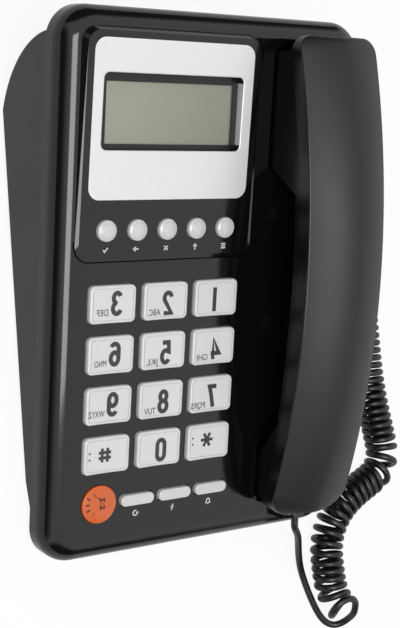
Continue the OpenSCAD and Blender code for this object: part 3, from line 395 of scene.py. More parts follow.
class Finishes(Enum):
    """Every finish of the telephone."""

    # Black ABS from a polished mould: deep black that mirrors the tent and the lamp
    POLISHED_ABS = MouldedPlastic("abs_polished_mould", "#0c0c0d", 0.11, 0.02)
    # Black ABS from a spark-eroded mould: a grey sheen with a fine grain
    SATIN_ABS = MouldedPlastic("abs_satin_mould", "#0f0f10", 0.36, 0.05, grain_mm=0.7, grain_depth_mm=0.004)
    # Black ABS from a softly blasted mould: a broad highlight with no sharp edge
    CROWN_ABS = MouldedPlastic("abs_soft_gloss_mould", "#101011", 0.5, 0.02, ior=1.5)
    # Black ABS from a finely etched mould: hardly any sheen, so that it stays the darkest of the shells
    LOWER_ABS = MouldedPlastic("abs_fine_satin_mould", "#09090a", 0.28, 0.03, ior=1.33)
    # Black ABS where two mould halves meet and are polished: a thin bright line
    BEAD_ABS = MouldedPlastic("abs_polished_edge", "#141415", 0.16, 0.02)
    # Painted shade for the seam in front of the display panel: a dull near-black line, darker than the faces
    # beside it
    PAINTED_SEAM_SHADE = MouldedPlastic("painted_seam_shadow", "#020202", 0.9, 0.02, ior=1.1)
    # Black ABS as it leaves a plain mould, out of sight: dark grey and dull
    INNER_ABS = MouldedPlastic("abs_plain_mould", "#1c1c1e", 0.5, 0.05, grain_depth_mm=0.004)
    # White ABS under a moulded clear cap: bright, a little see-through at its edges, and wet-looking
    KEY_ABS = MouldedPlastic("abs_white_under_clear_cap", "#e6e6e5", 0.3, 0.03, coat=0.5, glow=0.4)
    # White ABS, moulded and domed: a small highlight on each dome
    BUTTON_ABS = MouldedPlastic("abs_white_domed", "#dadad8", 0.28, 0.04, coat=0.5)
    # Orange polystyrene, moulded: strong colour that glows a little from inside
    ORANGE_RESIN = MouldedPlastic("polystyrene_orange_translucent", "#dd641f", 0.22, 0.04,
                                  coat=0.3, glow=0.1)
    # Silicone rubber, moulded: pale grey and matt
    SILICONE = MouldedPlastic("silicone_moulded_mat", "#b4b4b0", 0.62, 0.05, ior=1.41)
    # Black rubber, moulded: dull and slightly rough
    FOOT_RUBBER = MouldedPlastic("rubber_moulded_foot", "#1b1b1b", 0.75, 0.06, grain_depth_mm=0.01)
    # Glass-fibre epoxy under green lacquer: half matt, with the unevenness of the fibres
    BOARD = MouldedPlastic("glass_epoxy_laminate", "#2c6a42", 0.4, 0.06, grain_mm=1.1, grain_depth_mm=0.008)
    # Pressed steel with a grey coat: an even half-matt grey
    CAN = MouldedPlastic("steel_coated_can", "#4a4a4d", 0.42, 0.06, grain_depth_mm=0.006)
    # Black vinyl, extruded: a soft light line along each turn of the cord
    SHEATH = MouldedPlastic("vinyl_extruded_sheath", "#0e0e0f", 0.34, 0.05,
                            grain_mm=0.8, grain_depth_mm=0.004)
    # Inks, screen-printed: flat colour with a dry sheen, and a little more gloss on the display's mask
    INK_DARK = MouldedPlastic("ink_screen_print_dark", "#343436", 0.45, 0.03)
    INK_BROWN = MouldedPlastic("ink_screen_print_brown", "#5e1c06", 0.45, 0.03)
    INK_WHITE = MouldedPlastic("ink_screen_print_white", "#dcdcdc", 0.5, 0.03)
    INK_MASK = MouldedPlastic("ink_screen_print_black_mask", "#040405", 0.3, 0.03)
    # Polystyrene sprayed with silver lacquer: light grey with a fine sparkle
    SILVER = MetallicLacquer("polystyrene_silver_lacquer", "#efefef", metallic=0.3)
    # Acrylic, cast as a pane: seen only by its reflections
    LENS = ClearResin("acrylic_clear_cast", "#fbfcfb", 1.49, thin=True)
    # Polycarbonate, moulded: glassy, with bright edges
    PLUG = ClearResin("polycarbonate_clear_moulded", "#e9ecee", 1.58, 0.05)
    # Display glass with its polariser: grey-green, with painted shading that darkens it towards the right
    LCD = LiquidCrystal("liquid_crystal_unlit", "#a8a797", "#8f9484", -52.0, 10.0)
    # Steel, zinc-plated: cold bright metal with duller patches
    STEEL = PlatedMetal("steel_zinc_plated", "#c3c3c6")

    @property
    def material(self) -> bpy.types.Material:
        """The finish's material, made when it is first asked for."""
        return bpy.data.materials.get(self.value.name) or self.value.make()


NODE_FINISHES = {
    Finishes.POLISHED_ABS: ("top_cover", "display_panel"),
    Finishes.SATIN_ABS: ("bottom_cover", "hook_plunger"),
    Finishes.CROWN_ABS: ("handset_outer_shell",),
    Finishes.LOWER_ABS: ("handset_inner_shell",),
    Finishes.SILVER: ("display_plate",),
    Finishes.LENS: ("display_lens",),
    Finishes.LCD: ("lcd_glass",),
    Finishes.INNER_ABS: ("lcd_holder", "hook_switch", "line_socket", "cord_socket", "handset_socket"),
    Finishes.SILICONE: ("key_mat",),
    Finishes.BOARD: ("main_board",),
    Finishes.CAN: ("loudspeaker", "earpiece", "microphone"),
    Finishes.FOOT_RUBBER: ("rubber_feet",),
    Finishes.STEEL: ("board_screws", "case_screws", "handset_screws", "hook_spring", "handset_weight"),
    Finishes.KEY_ABS: tuple(key.name.lower() for key in KeySign),
    Finishes.BUTTON_ABS: ("redial_button", "flash_button", "ringer_button",
                          *(f"display_button_{i}" for i in range(1, 6))),
    Finishes.ORANGE_RESIN: ("speaker_button",),
    Finishes.PLUG: ("base_plug", "handset_plug"),
    Finishes.SHEATH: ("curly_cord",),
}


@dataclass(frozen=True)
class SlopedFace:
    """The sloped face of the body and the raised display panel on it, as the solids have them."""

    tilt_deg: float = 11.1
    height: float = 33.894
    shift: float = -1.947
    panel_front: float = 11.58
    panel_length: float = 82.7
    panel_low: float = 0.5
    panel_high: float = 2.6

    def point(self, x: float, y: float, z: float) -> Vector:
        """Turn a point of the face frame into the row frame.

        Args:
            x: place to the right, in millimetres.
            y: place to the rear, in millimetres.
            z: height above the face, in millimetres.

        Returns:
            The point in metres.
        """
        sine, cosine = math.sin(math.radians(self.tilt_deg)), math.cos(math.radians(self.tilt_deg))
        return Vector((x, self.shift + y * cosine - z * sine, self.height + y * sine + z * cosine)) * MM

    def panel_height(self, y: float) -> float:
        """Height of the display panel's sloped top.

        Args:
            y: place on the face, in millimetres.

        Returns:
            Height above the face, in millimetres.
        """
        share = (y - self.panel_front) / self.panel_length
        return self.panel_low + (self.panel_high - self.panel_low) * share


FACE = SlopedFace()


@dataclass
class MeshDraft:
    """Points and faces of a mesh in the making."""

    points: list[Vector] = field(default_factory=list)
    faces: list[tuple[int, ...]] = field(default_factory=list)

    def add_points(self, points: Sequence[Vector]) -> int:
        """Add points.

        Args:
            points: the new points, in metres.

        Returns:
            The number of the first of them.
        """
        start = len(self.points)
        self.points.extend(points)
        return start

    def build(self, name: str, finish: Finishes, sharp_deg: float = 38.0) -> bpy.types.Object:
        """Turn the draft into an object.

        Args:
            name: the piece's name.
            finish: its finish.
            sharp_deg: angle between faces above which their edge is shaded sharp.

        Returns:
            The new object, linked to the scene.
        """
        mesh = bpy.data.meshes.new(name)
        mesh.from_pydata([tuple(p) for p in self.points], [], self.faces)
        mesh.materials.append(finish.material)
        mesh.validate()
        mesh.polygons.foreach_set("use_smooth", [True] * len(mesh.polygons))
        mesh.set_sharp_from_angle(angle=math.radians(sharp_deg))
        piece = bpy.data.objects.new(name, mesh)
        bpy.context.scene.collection.objects.link(piece)
        LOG.info("%s is %s with %d faces", name, finish.value.name, len(mesh.polygons))
        return piece


def loft(draft: MeshDraft, rings: Sequence[Sequence[Vector]], closed: bool = False) -> None:
    """Add a closed skin through rings of equal count.

    Args:
        draft: the mesh that gets the skin.
        rings: the rings, each a closed loop of points.
        closed: whether the last ring joins the first; otherwise both get a flat end.
    """
    count = len(rings[0])
    starts = [draft.add_points(ring) for ring in rings]
    pairs = zip(starts, starts[1:] + starts[:1] if closed else starts[1:])
    for low, high in pairs:
        for j in range(count):
            k = (j + 1) % count
            draft.faces.append((low + j, low + k, high + k, high + j))
    if not closed:
        draft.faces.append(tuple(starts[0] + j for j in reversed(range(count))))
        draft.faces.append(tuple(starts[-1] + j for j in range(count)))


def arc(centre: Point2, radius: Point2, start: float, end: float, steps: int = 14) -> list[Point2]:
    """Points along an elliptical arc.

    Args:
        centre: middle of the ellipse.
        radius: half width and half height.
        start: first angle, in degrees.
        end: last angle, in degrees.
        steps: number of steps.

    Returns:
        The points.
    """
    angles = [math.radians(start + (end - start) * i / steps) for i in range(steps + 1)]
    return [(centre[0] + radius[0] * math.cos(a), centre[1] + radius[1] * math.sin(a)) for a in angles]


def rounded_box(half: Point2, corner: float, side_steps: int = 24, corner_steps: int = 6) -> list[Point2]:
    """Points round a rectangle with round corners, counter-clockwise from its right side.

    Args:
        half: half its width and half its length.
        corner: radius of its corners.
        side_steps: steps along each side.
        corner_steps: steps round each corner.

    Returns:
        The points, the same number for every size.
    """
    points: list[Point2] = []
    inner = (half[0] - corner, half[1] - corner)
    ends = ((1, -1), (1, 1), (-1, 1), (-1, -1))
    for quarter in range(4):
        turn = 90.0 * quarter
        middle = (ends[(quarter + 1) % 4][0] * inner[0], ends[(quarter + 1) % 4][1] * inner[1])
        last = (ends[quarter][0] * inner[0], ends[quarter][1] * inner[1])
        out = (math.cos(math.radians(turn)) * corner, math.sin(math.radians(turn)) * corner)
        for i in range(side_steps):
            share = i / side_steps
            points.append((last[0] + (middle[0] - last[0]) * share + out[0],
                           last[1] + (middle[1] - last[1]) * share + out[1]))
        points.extend(arc(middle, (corner, corner), turn, turn + 90, corner_steps)[:-1])
    return points


@dataclass(frozen=True)
class Stroke:
    """One stroke of a printed sign: its middle line and whether that is closed."""

    line: tuple[Point2, ...]
    closed: bool = False


def stroke(*parts: Sequence[Point2] | Point2, closed: bool = False) -> Stroke:
    """Join points and arcs into one stroke.

    Args:
        parts: points, or lists of points.
        closed: whether the end joins the start.

    Returns:
        The stroke.
    """
    same = 1e-4
    line: list[Point2] = []
    for part in parts:
        for p in ([part] if isinstance(part[0], (int, float)) else part):
            if not line or math.dist(line[-1], p) > same:
                line.append(tuple(p))
    if closed and math.dist(line[0], line[-1]) < same:
        line.pop()
    return Stroke(tuple(line), closed)


# Plain signs drawn on middle lines in a box one unit wide and two high, centred on the origin
SIGNS: dict[str, tuple[Stroke, ...]] = {
    "0": (stroke(arc((0, 0.5), (0.5, 0.5), 0, 180), arc((0, -0.5), (0.5, 0.5), 180, 360), closed=True),),
    "1": (stroke((0, 1.2), (0, -1.2)),),
    "2": (stroke(arc((0, 0.5), (0.5, 0.5), 170, -30, 18), (-0.5, -1.0), (0.52, -1.0)),),
    "3": (stroke(arc((-0.02, 0.52), (0.46, 0.48), 160, -90, 18),
                 arc((-0.02, -0.48), (0.52, 0.52), 90, -160, 18)),),
    "4": (stroke((0.28, -1.12), (0.28, 1.0), (-0.58, -0.5), (0.62, -0.5)),),
    "5": (stroke((0.44, 1.0), (-0.38, 1.0), (-0.46, 0.06), arc((-0.02, -0.4), (0.5, 0.6), 118, -150, 20)),),
    "6": (stroke(arc((0, -0.42), (0.5, 0.58), 0, 360, 28), closed=True),
          stroke((-0.5, -0.42), (-0.5, 0.4), arc((0, 0.5), (0.5, 0.5), 180, 25, 14))),
    "7": (stroke((-0.5, 1.0), (0.5, 1.0), (0.22, 0.2), (-0.08, -1.12)),),
    "8": (stroke(arc((0, 0.53), (0.44, 0.47), 0, 360, 26), closed=True),
          stroke(arc((0, -0.47), (0.52, 0.53), 0, 360, 28), closed=True)),
    "9": (stroke(arc((0, 0.42), (0.5, 0.58), 0, 360, 28), closed=True),
          stroke((0.5, 0.42), (0.5, -0.4), arc((0, -0.5), (0.5, 0.5), 0, -155, 14))),
    "#": (stroke((-0.26, 0.95), (-0.26, -0.95)), stroke((0.26, 0.95), (0.26, -0.95)),
          stroke((-0.6, 0.36), (0.6, 0.36)), stroke((-0.6, -0.36), (0.6, -0.36))),
    "*": (stroke((-0.75, 0.0), (0.75, 0.0)), stroke((-0.38, 0.85), (0.38, -0.85)),
          stroke((-0.38, -0.85), (0.38, 0.85))),
    "tick": (stroke((-0.55, 0.0), (-0.15, -0.45), (0.6, 0.5)),),
    "back": (stroke((0.7, 0.0), (-0.6, 0.0)), stroke((-0.1, 0.5), (-0.65, 0.0), (-0.1, -0.5))),
    "cross": (stroke((-0.5, 0.5), (0.5, -0.5)), stroke((-0.5, -0.5), (0.5, 0.5))),
    "up": (stroke((0.0, -0.7), (0.0, 0.6)), stroke((-0.5, 0.1), (0.0, 0.65), (0.5, 0.1))),
    "list": tuple(stroke((-0.6, y), (0.6, y)) for y in (0.5, 0.0, -0.5)),
    "again": (stroke(arc((0, 0), (0.6, 0.6), 60, 360, 22)), stroke((0.25, 0.1), (0.6, -0.1), (0.9, 0.2))),
    "pulse": (stroke((0.25, 0.75), (-0.35, -0.05), (0.3, 0.05), (-0.25, -0.75)),),
    "bell": (stroke((-0.7, -0.45), (-0.45, -0.2), arc((0, 0.15), (0.45, 0.5), 180, 0, 12), (0.45, -0.2),
                    (0.7, -0.45), closed=True),
             stroke((-0.15, -0.7), (0.15, -0.7))),
    "speaker": (stroke((0.42, 0.3), (0.42, -0.3), (0.12, -0.3), (-0.42, -0.72), (-0.42, 0.72), (0.12, 0.3),
                       closed=True),
                stroke((-0.72, 0.0), (-1.02, 0.0)), stroke((-0.68, 0.34), (-0.94, 0.5)),
                stroke((-0.68, -0.34), (-0.94, -0.5)), stroke((0.12, 0.3), (0.12, -0.3))),
}

LETTER_GROUPS = {
    "2": "ABC", "3": "DEF", "4": "GHI", "5": "JKL", "6": "MNO", "7": "PQRS", "8": "TUV", "9": "WXYZ",
}


@dataclass
class Print:
    """Screen-printed signs that lie on a surface as a thin film of ink."""

    name: str
    finish: Finishes
    place: Placer
    film: float = 0.03
    lift: float = 0.02
    sharpest: float = 0.3
    size_per_capital: float = 1.4
    dot_steps: int = 16
    draft: MeshDraft = field(default_factory=MeshDraft)

    def sign(self, sign: str, middle: Point2, size: Point2, weight: float, hand: int = 1) -> None:
        """Print a sign of strokes.

        Args:
            sign: its name in SIGNS.
            middle: where its middle lies.
            size: half its width and half its height.
            weight: breadth of its strokes.
            hand: 1 for right-reading, -1 for mirrored.
        """
        for part in SIGNS[sign]:
            line = [(middle[0] + hand * p[0] * size[0], middle[1] + p[1] * size[1]) for p in part.line]
            self.ribbon(line, weight, part.closed)

    def dot(self, middle: Point2, width: float) -> None:
        """Print a round dot.

        Args:
            middle: where it lies.
            width: its width.
        """
        rim = arc(middle, (width / 2, width / 2), 0, 360, self.dot_steps)[:-1]
        loft(self.draft, [[self.place(*p, z) for p in rim] for z in (self.lift, self.lift + self.film)])

    def ribbon(self, line: list[Point2], weight: float, closed: bool) -> None:
        """Lay one stroke down as a flat closed strip.

        Args:
            line: the stroke's middle line.
            weight: its breadth.
            closed: whether it runs round.
        """
        count = len(line)
        low, high = self.lift, self.lift + self.film
        rings = []
        for i, p in enumerate(line):
            before = line[i - 1] if closed or i > 0 else None
            after = line[(i + 1) % count] if closed or i < count - 1 else None
            sides = []
            for a, b in ((before, p), (p, after)):
                if a is not None and b is not None:
                    run = math.dist(a, b)
                    sides.append(((a[1] - b[1]) / run, (b[0] - a[0]) / run))
            mean = (sum(s[0] for s in sides) / len(sides), sum(s[1] for s in sides) / len(sides))
            reach = weight / 2 / max(mean[0] ** 2 + mean[1] ** 2, self.sharpest)
            left = (p[0] + mean[0] * reach, p[1] + mean[1] * reach)
            right = (p[0] - mean[0] * reach, p[1] - mean[1] * reach)
            rings.append([self.place(*left, high), self.place(*left, low),
                          self.place(*right, low), self.place(*right, high)])
        loft(self.draft, rings, closed)

    def letters(self, words: str, start: Point2, size: Point2, hand: int) -> None:
        """Print a few small letters in a plain face, squeezed to a width.

        Args:
            words: the letters.
            start: where the first letter starts, on its base line.
            size: width of the whole and height of the letters.
            hand: 1 to run to the right, -1 to run mirrored to the left.
        """
        curve = bpy.data.curves.new("letters", "FONT")
        curve.body = words
        curve.size = size[1] * self.size_per_capital
        curve.extrude = self.film / 2
        text = bpy.data.objects.new("letters", curve)
        bpy.context.scene.collection.objects.link(text)
        bpy.context.view_layer.update()
        mesh = text.evaluated_get(bpy.context.evaluated_depsgraph_get()).to_mesh()
        squeeze = size[0] / max(v.co.x for v in mesh.vertices)
        middle = self.lift + self.film / 2
        first = self.draft.add_points([
            self.place(start[0] + hand * v.co.x * squeeze, start[1] + v.co.y, middle + v.co.z)
            for v in mesh.vertices])
        for polygon in mesh.polygons:
            corners = [first + i for i in polygon.vertices]
            self.draft.faces.append(tuple(corners if hand > 0 else reversed(corners)))
        bpy.data.objects.remove(text)
        bpy.data.curves.remove(curve)

    def lay(self, body: str) -> None:
        """Finish the print.

        Args:
            body: the CAD body that carries it.
        """
        piece = self.draft.build(self.name, self.finish)
        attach(piece, body)


@dataclass
class Keypad:
    """The twelve keys in four rows: white bodies with a rim, a fine groove inside it, and a printed sign."""

    middle_x: float = -21.85
    first_row_y: float = -3.92
    pitch: Point2 = (22.84, 18.72)
    half: Point2 = (9.65, 7.0)
    corner: float = 2.0
    least_corner: float = 0.5
    edge: float = 0.8
    edge_steps: int = 5
    top: float = 1.9
    dish: float = 0.5
    flange: float = 1.25
    flange_top: float = -2.8
    flange_low: float = -4.0
    stem_half: float = 1.9
    stem_corner: float = 1.6
    stem_low: float = -5.5
    rim: float = 1.0
    groove_width: float = 0.28
    groove_depth: float = 0.4
    groove_slope: float = 0.02
    lip_width: float = 0.03
    lip_drop: float = 0.04
    notch_half: float = 1.3
    notch_depth: float = 0.42
    top_shares: tuple[float, ...] = (0.85, 0.6, 0.35, 0.1)
    columns: int = 3
    sign_half: Point2 = (3.2, 3.8)
    sign_weight: float = 1.7
    sign_at: tuple[Point2, ...] = ((1.6, 0.3), (1.0, -0.75), (0.9, -0.8))
    one_at: Point2 = (-0.6, -0.55)
    hash_at: Point2 = (-0.8, 0.1)
    hash_half: Point2 = (4.4, 2.75)
    star_at: Point2 = (-0.7, 0.8)
    star_half: Point2 = (3.7, 3.0)
    hash_weight: float = 1.15
    dots_x: float = -7.4
    dots_reach: float = 1.2
    dot_width: float = 0.8
    letters_at: tuple[Point2, ...] = ((-1.7, -4.0), (-2.2, -5.1), (-2.3, -5.1))
    letter_width: float = 1.75
    letter_height: float = 2.4
    letter_inset: float = 1.5
    hand: LegendHand = LegendHand.AS_PHOTOGRAPHED

    def bowl(self, x: float) -> float:
        """Height of the dished top at a place across the key.

        Args:
            x: place from the key's middle.

        Returns:
            Height above the face.
        """
        radius = (self.half[0] ** 2 + self.dish ** 2) / (2 * self.dish)
        return self.top - self.dish + radius - math.sqrt(radius ** 2 - x ** 2)

    def body(self, middle: Point2) -> MeshDraft:
        """Draft one key: stem, flange, shank, rounded rim, groove with a finger notch, and dished top.

        Args:
            middle: the key's middle on the face.

        Returns:
            The key's mesh.
        """
        def level(half: Point2, corner: float, z: float) -> list[Vector]:
            """A ring at one height."""
            return [FACE.point(middle[0] + x, middle[1] + y, z) for x, y in rounded_box(half, corner)]

        def dished(inset: float, drop: float, notch: float = 0.0, share: float = 1.0) -> list[Vector]:
            """A ring that follows the dished top.

            Args:
                inset: how far it lies in from the key's edge.
                drop: how far it lies below the top.
                notch: depth of the finger notch in its rear side.
                share: its size as a share of that inset outline.

            Returns:
                The ring's points.
            """
            half = ((self.half[0] - inset) * share, (self.half[1] - inset) * share)
            ring = []
            for x, y in rounded_box(half, max(self.corner - inset, self.least_corner) * share):
                bite = notch * max(1 - (x / self.notch_half) ** 2, 0) if y > half[1] - HAIR else 0.0
                ring.append(FACE.point(middle[0] + x, middle[1] + y - bite, self.bowl(x) - drop))
            return ring

        wide = (self.half[0] + self.flange, self.half[1] + self.flange)
        stem = (self.stem_half, self.stem_half)
        levels = ((stem, self.stem_corner, self.stem_low), (stem, self.stem_corner, self.flange_low),
                  (wide, self.corner, self.flange_low), (wide, self.corner, self.flange_top),
                  (self.half, self.corner, self.flange_top))
        rings = [level(*sizes) for sizes in levels]
        for k in range(self.edge_steps + 1):
            angle = math.pi / 2 * k / self.edge_steps
            rings.append(dished(self.edge * (1 - math.cos(angle)), self.edge * (1 - math.sin(angle))))
        inner = self.rim + self.groove_width
        lip = inner + self.lip_width
        slope = self.groove_slope
        rings += [dished(self.rim, slope), dished(self.rim + slope, self.groove_depth),
                  dished(inner, self.groove_depth, self.notch_depth),
                  dished(lip, self.lip_drop, self.notch_depth)]
        rings += [dished(lip, 0.0, 0.0, share) for share in self.top_shares]
        draft = MeshDraft()
        loft(draft, rings)
        return draft

    def legend(self, key: KeySign, middle: Point2, column: int) -> Print:
        """Print one key's sign and letters.

        Args:
            key: the key.
            middle: its middle on the face.
            column: its column.

        Returns:
            The print, not yet laid.
        """
        def place(x: float, y: float, z: float) -> Vector:
            """Place a point of this key's top, as SlopedFace.point does."""
            return FACE.point(middle[0] + x, middle[1] + y, self.bowl(x) + z)

        legend = Print(f"legend_{key.name.lower()}", Finishes.INK_DARK, place)
        hand = self.hand.value
        line_signs = {KeySign.KEY_HASH: (self.hash_at, self.hash_half),
                      KeySign.KEY_STAR: (self.star_at, self.star_half)}
        if key in line_signs:
            at, half = line_signs[key]
            legend.sign(key.value, at, half, self.hash_weight, hand)
            for y in (-self.dots_reach, self.dots_reach):
                legend.dot((self.dots_x, at[1] + y), self.dot_width)
            return legend
        at = self.one_at if key is KeySign.KEY_1 else self.sign_at[column]
        legend.sign(key.value, at, self.sign_half, self.sign_weight, hand)
        if key.value in LETTER_GROUPS:
            group = LETTER_GROUPS[key.value]
            start = self.letters_at[column]
            if self.hand is LegendHand.RIGHT_READING:
                start = (self.letter_inset - self.half[0], start[1])
            legend.letters(group, start, (self.letter_width * len(group), self.letter_height), hand)
        return legend

    def build(self) -> None:
        """Build and print every key."""
        for i, key in enumerate(KeySign):
            node = key.name.lower()
            row, column = divmod(i, self.columns)
            middle = (self.middle_x + (column - (self.columns - 1) / 2) * self.pitch[0],
                      self.first_row_y - row * self.pitch[1])
            piece = self.body(middle).build(f"white_{node}", Finishes.KEY_ABS)
            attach(piece, node)
            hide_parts(node)
            self.legend(key, middle, column).lay(node)


@dataclass
class Buttons:
    """The round buttons under the display, and the signs of these and of the buttons at the front.

    The edge of a round button is given as insets and drops from its dome, and its fine ring groove as radii
    and depths.
    """

    round_x: float = -22.45
    round_y: float = 22.78
    round_pitch: float = 13.0
    round_r: float = 3.9
    round_top: float = 2.8
    round_dome: float = 1.0
    round_edge: tuple[Point2, ...] = ((0.0, 0.22), (0.08, 0.06), (0.25, 0.0), (0.6, 0.0))
    ring_groove: tuple[Point2, ...] = ((2.89, 0.0), (2.85, 0.22), (2.65, 0.22), (2.59, 0.0))
    dome_r: tuple[float, ...] = (2.2, 1.6, 1.0, 0.4)
    stem_r: float = 1.9
    stem_low: float = -5.5
    flange: float = 1.25
    flange_low: float = -4.0
    flange_top: float = -2.8
    turn_steps: int = 48
    label_y: float = 15.8
    label_half: float = 1.6
    label_weight: float = 0.5
    row_y: float = -78.98
    oblong_x: tuple[float, ...] = (-30.14, -13.31, 3.52)
    oblong_label_y: float = -84.7
    speaker_x: float = -46.59
    speaker_top: float = 1.8
    speaker_r: float = 7.2
    speaker_dome: float = 1.1
    speaker_sign_at: Point2 = (-0.6, 0.5)
    speaker_sign_half: float = 5.3
    speaker_weight: float = 0.75
    round_signs: tuple[str, ...] = ("tick", "back", "cross", "up", "list")
    oblong_signs: tuple[str, ...] = ("again", "pulse", "bell")

    def turned(self, x: float) -> MeshDraft:
        """Draft one round button: stem, flange with flats, shank and domed top with a fine ring groove.

        Args:
            x: the button's middle on the face.

        Returns:
            The button's mesh.
        """
        ball = (self.round_r ** 2 + self.round_dome ** 2) / (2 * self.round_dome)

        def dome(r: float, drop: float = 0.0) -> tuple[float, float]:
            """A point of the profile on the dome."""
            return r, self.round_top - ball + math.sqrt(ball ** 2 - r ** 2) - drop

        wide = self.round_r + self.flange
        profile = [(self.stem_r, self.stem_low), (self.stem_r, self.flange_low), (wide, self.flange_low),
                   (wide, self.flange_top), (self.round_r, self.flange_top)]
        profile += [dome(self.round_r - inset, drop) for inset, drop in self.round_edge]
        profile += [dome(r, depth) for r, depth in self.ring_groove]
        profile += [dome(r) for r in self.dome_r]
        rings = []
        for r, z in profile:
            turn = arc((0, 0), (r, r), 0, 360, self.turn_steps)[:-1]
            rings.append([FACE.point(x + min(max(p, -self.round_r), self.round_r), self.round_y + q, z)
                          for p, q in turn])
        draft = MeshDraft()
        loft(draft, rings)
        return draft

    def build(self) -> None:
        """Build the round buttons and print the signs beside and on the buttons."""
        size = (self.label_half, self.label_half)
        panel = Print("legend_display_buttons", Finishes.INK_WHITE, self.on_panel)
        for i, sign in enumerate(self.round_signs):
            x = self.round_x + (i - (len(self.round_signs) - 1) / 2) * self.round_pitch
            node = f"display_button_{i + 1}"
            piece = self.turned(x).build(f"white_{node}", Finishes.BUTTON_ABS)
            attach(piece, node)
            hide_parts(node)
            panel.sign(sign, (x, self.label_y), size, self.label_weight)
        panel.lay("base")
        row = Print("legend_function_row", Finishes.INK_WHITE, FACE.point)
        for x, sign in zip(self.oblong_x, self.oblong_signs):
            row.sign(sign, (x, self.oblong_label_y), size, self.label_weight)
        row.lay("base")
        speaker = Print("legend_speaker_button", Finishes.INK_BROWN, self.on_speaker)
        half = (self.speaker_sign_half, self.speaker_sign_half)
        speaker.sign("speaker", self.speaker_sign_at, half, self.speaker_weight)
        speaker.lay("speaker_button")

    def on_panel(self, x: float, y: float, z: float) -> Vector:
        """Place a point on the sloped top of the display panel, as SlopedFace.point does."""
        return FACE.point(x, y, FACE.panel_height(y) + z)

    def on_speaker(self, x: float, y: float, z: float) -> Vector:
        """Place a point on the domed loudspeaker button.

        Args:
            x: place to the right of the button's middle.
            y: place to the rear of it.
            z: height above the dome.

        Returns:
            The point in metres.
        """
        radius = (self.speaker_r ** 2 + self.speaker_dome ** 2) / (2 * self.speaker_dome)
        dome = self.speaker_top - radius + math.sqrt(radius ** 2 - x ** 2 - y ** 2)
        return FACE.point(self.speaker_x + x, self.row_y + y, dome + z)


@dataclass
class DisplayTrim:
    """The black mask printed round the display glass, the wall of its window with painted shade on its ends,
    and a painted shadow line along the panel's front.
    """

    window_at: Point2 = (-22.25, 64.93)
    window_half: Point2 = (30.5, 13.85)
    window_corner: float = 2.2
    opening_at: Point2 = (-21.84, 64.385)
    opening_half: Point2 = (27.41, 11.015)
    opening_corner: float = 0.4
    lens_top: float = -1.7
    play: float = 0.03
    film: float = 0.05
    wall: float = 0.2
    wall_bevel: float = 0.12
    shade_from: float = 10.9
    shade_drop: float = 0.15
    seam: tuple[Point2, Point2] = ((-61.15, 11.33), (16.65, 19.0))
    seam_corner: float = 6.2
    seam_steps: int = 8
    seam_width: float = 0.45

    def ring(self, at: Point2, half: Point2, corner: float,
             height: Callable[[float], float]) -> list[Vector]:
        """A ring round a rectangle.

        Args:
            at: its middle.
            half: half its width and half its length.
            corner: radius of its corners.
            height: height above the face by the place along it.

        Returns:
            The ring's points.
        """
        places = [(at[0] + x, at[1] + y) for x, y in rounded_box(half, corner)]
        return [FACE.point(x, y, height(y)) for x, y in places]

    def build(self) -> None:
        """Build the mask, the window's wall with its ends blackened as painted shade, and the painted seam
        shadow.
        """
        low = self.lens_top + HAIR
        high = low + self.film
        foot = high + HAIR
        edge = (self.window_half[0] - self.play, self.window_half[1] - self.play)
        inner = (edge[0] - self.wall, edge[1] - self.wall)
        outside = (self.window_at, edge, self.window_corner)
        inside = (self.window_at, inner, self.window_corner)
        opening = (self.opening_at, self.opening_half, self.opening_corner)
        mask = MeshDraft()
        loft(mask, [self.ring(*outside, lambda y: low), self.ring(*opening, lambda y: low),
                    self.ring(*opening, lambda y: high), self.ring(*outside, lambda y: high)], closed=True)
        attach(mask.build("display_mask", Finishes.INK_MASK), "base")
        wall = MeshDraft()
        loft(wall, [self.ring(*outside, lambda y: foot), self.ring(*inside, lambda y: foot),
                    self.ring(*inside, lambda y: FACE.panel_height(y) - self.wall_bevel),
                    self.ring(*outside, FACE.panel_height)], closed=True)
        piece = wall.build("window_wall", Finishes.SILVER)
        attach(piece, "base")
        self.wall_end_shade((inner[0] - HAIR, inner[1] - HAIR), foot)
        self.panel_seam_shadow()

    def wall_end_shade(self, half: Point2, foot: float) -> None:
        """Blacken the wall's two ends as painted shade: a black film where the ends stand in shadow.

        Args:
            half: half the width and half the length inside the wall.
            foot: height of the paint's lower edge.
        """
        film = (half[0] - self.film, half[1] - self.film)
        rims = zip(rounded_box(half, self.window_corner), rounded_box(film, self.window_corner))
        pairs = sorted(rims, key=lambda pair: math.atan2(abs(pair[0][1]), pair[0][0]))
        draft = MeshDraft()
        for end in (1, -1):
            rings = []
            for pair in pairs[::end]:
                if end * pair[0][1] > self.shade_from:
                    (x0, y0), (x1, y1) = [(self.window_at[0] + x, self.window_at[1] + y) for x, y in pair]
                    top = FACE.panel_height(y0) - self.shade_drop
                    rings.append([FACE.point(x0, y0, foot), FACE.point(x1, y1, foot),
                                  FACE.point(x1, y1, top), FACE.point(x0, y0, top)])
            loft(draft, rings)
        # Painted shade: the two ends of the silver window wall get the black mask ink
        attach(draft.build("window_end_shade", Finishes.INK_MASK), "base")

    def panel_seam_shadow(self) -> None:
        """Draw a painted shadow line round the front of the raised panel, where the step down to the face
        lies in shade.
        """
        (left, front), (right, up) = self.seam
        bend = self.seam_corner
        line = [(left, up)]
        line += arc((left + bend, front + bend), (bend, bend), 180, 270, self.seam_steps)
        line += arc((right - bend, front + bend), (bend, bend), 270, 360, self.seam_steps)
        line.append((right, up))
        # Painted shade: a dull dark strip laid on the face where the step in front of the panel is in shadow
        seam = Print("panel_seam_shadow", Finishes.PAINTED_SEAM_SHADE, FACE.point)
        seam.ribbon(line, self.seam_width, False)
        seam.lay("base")


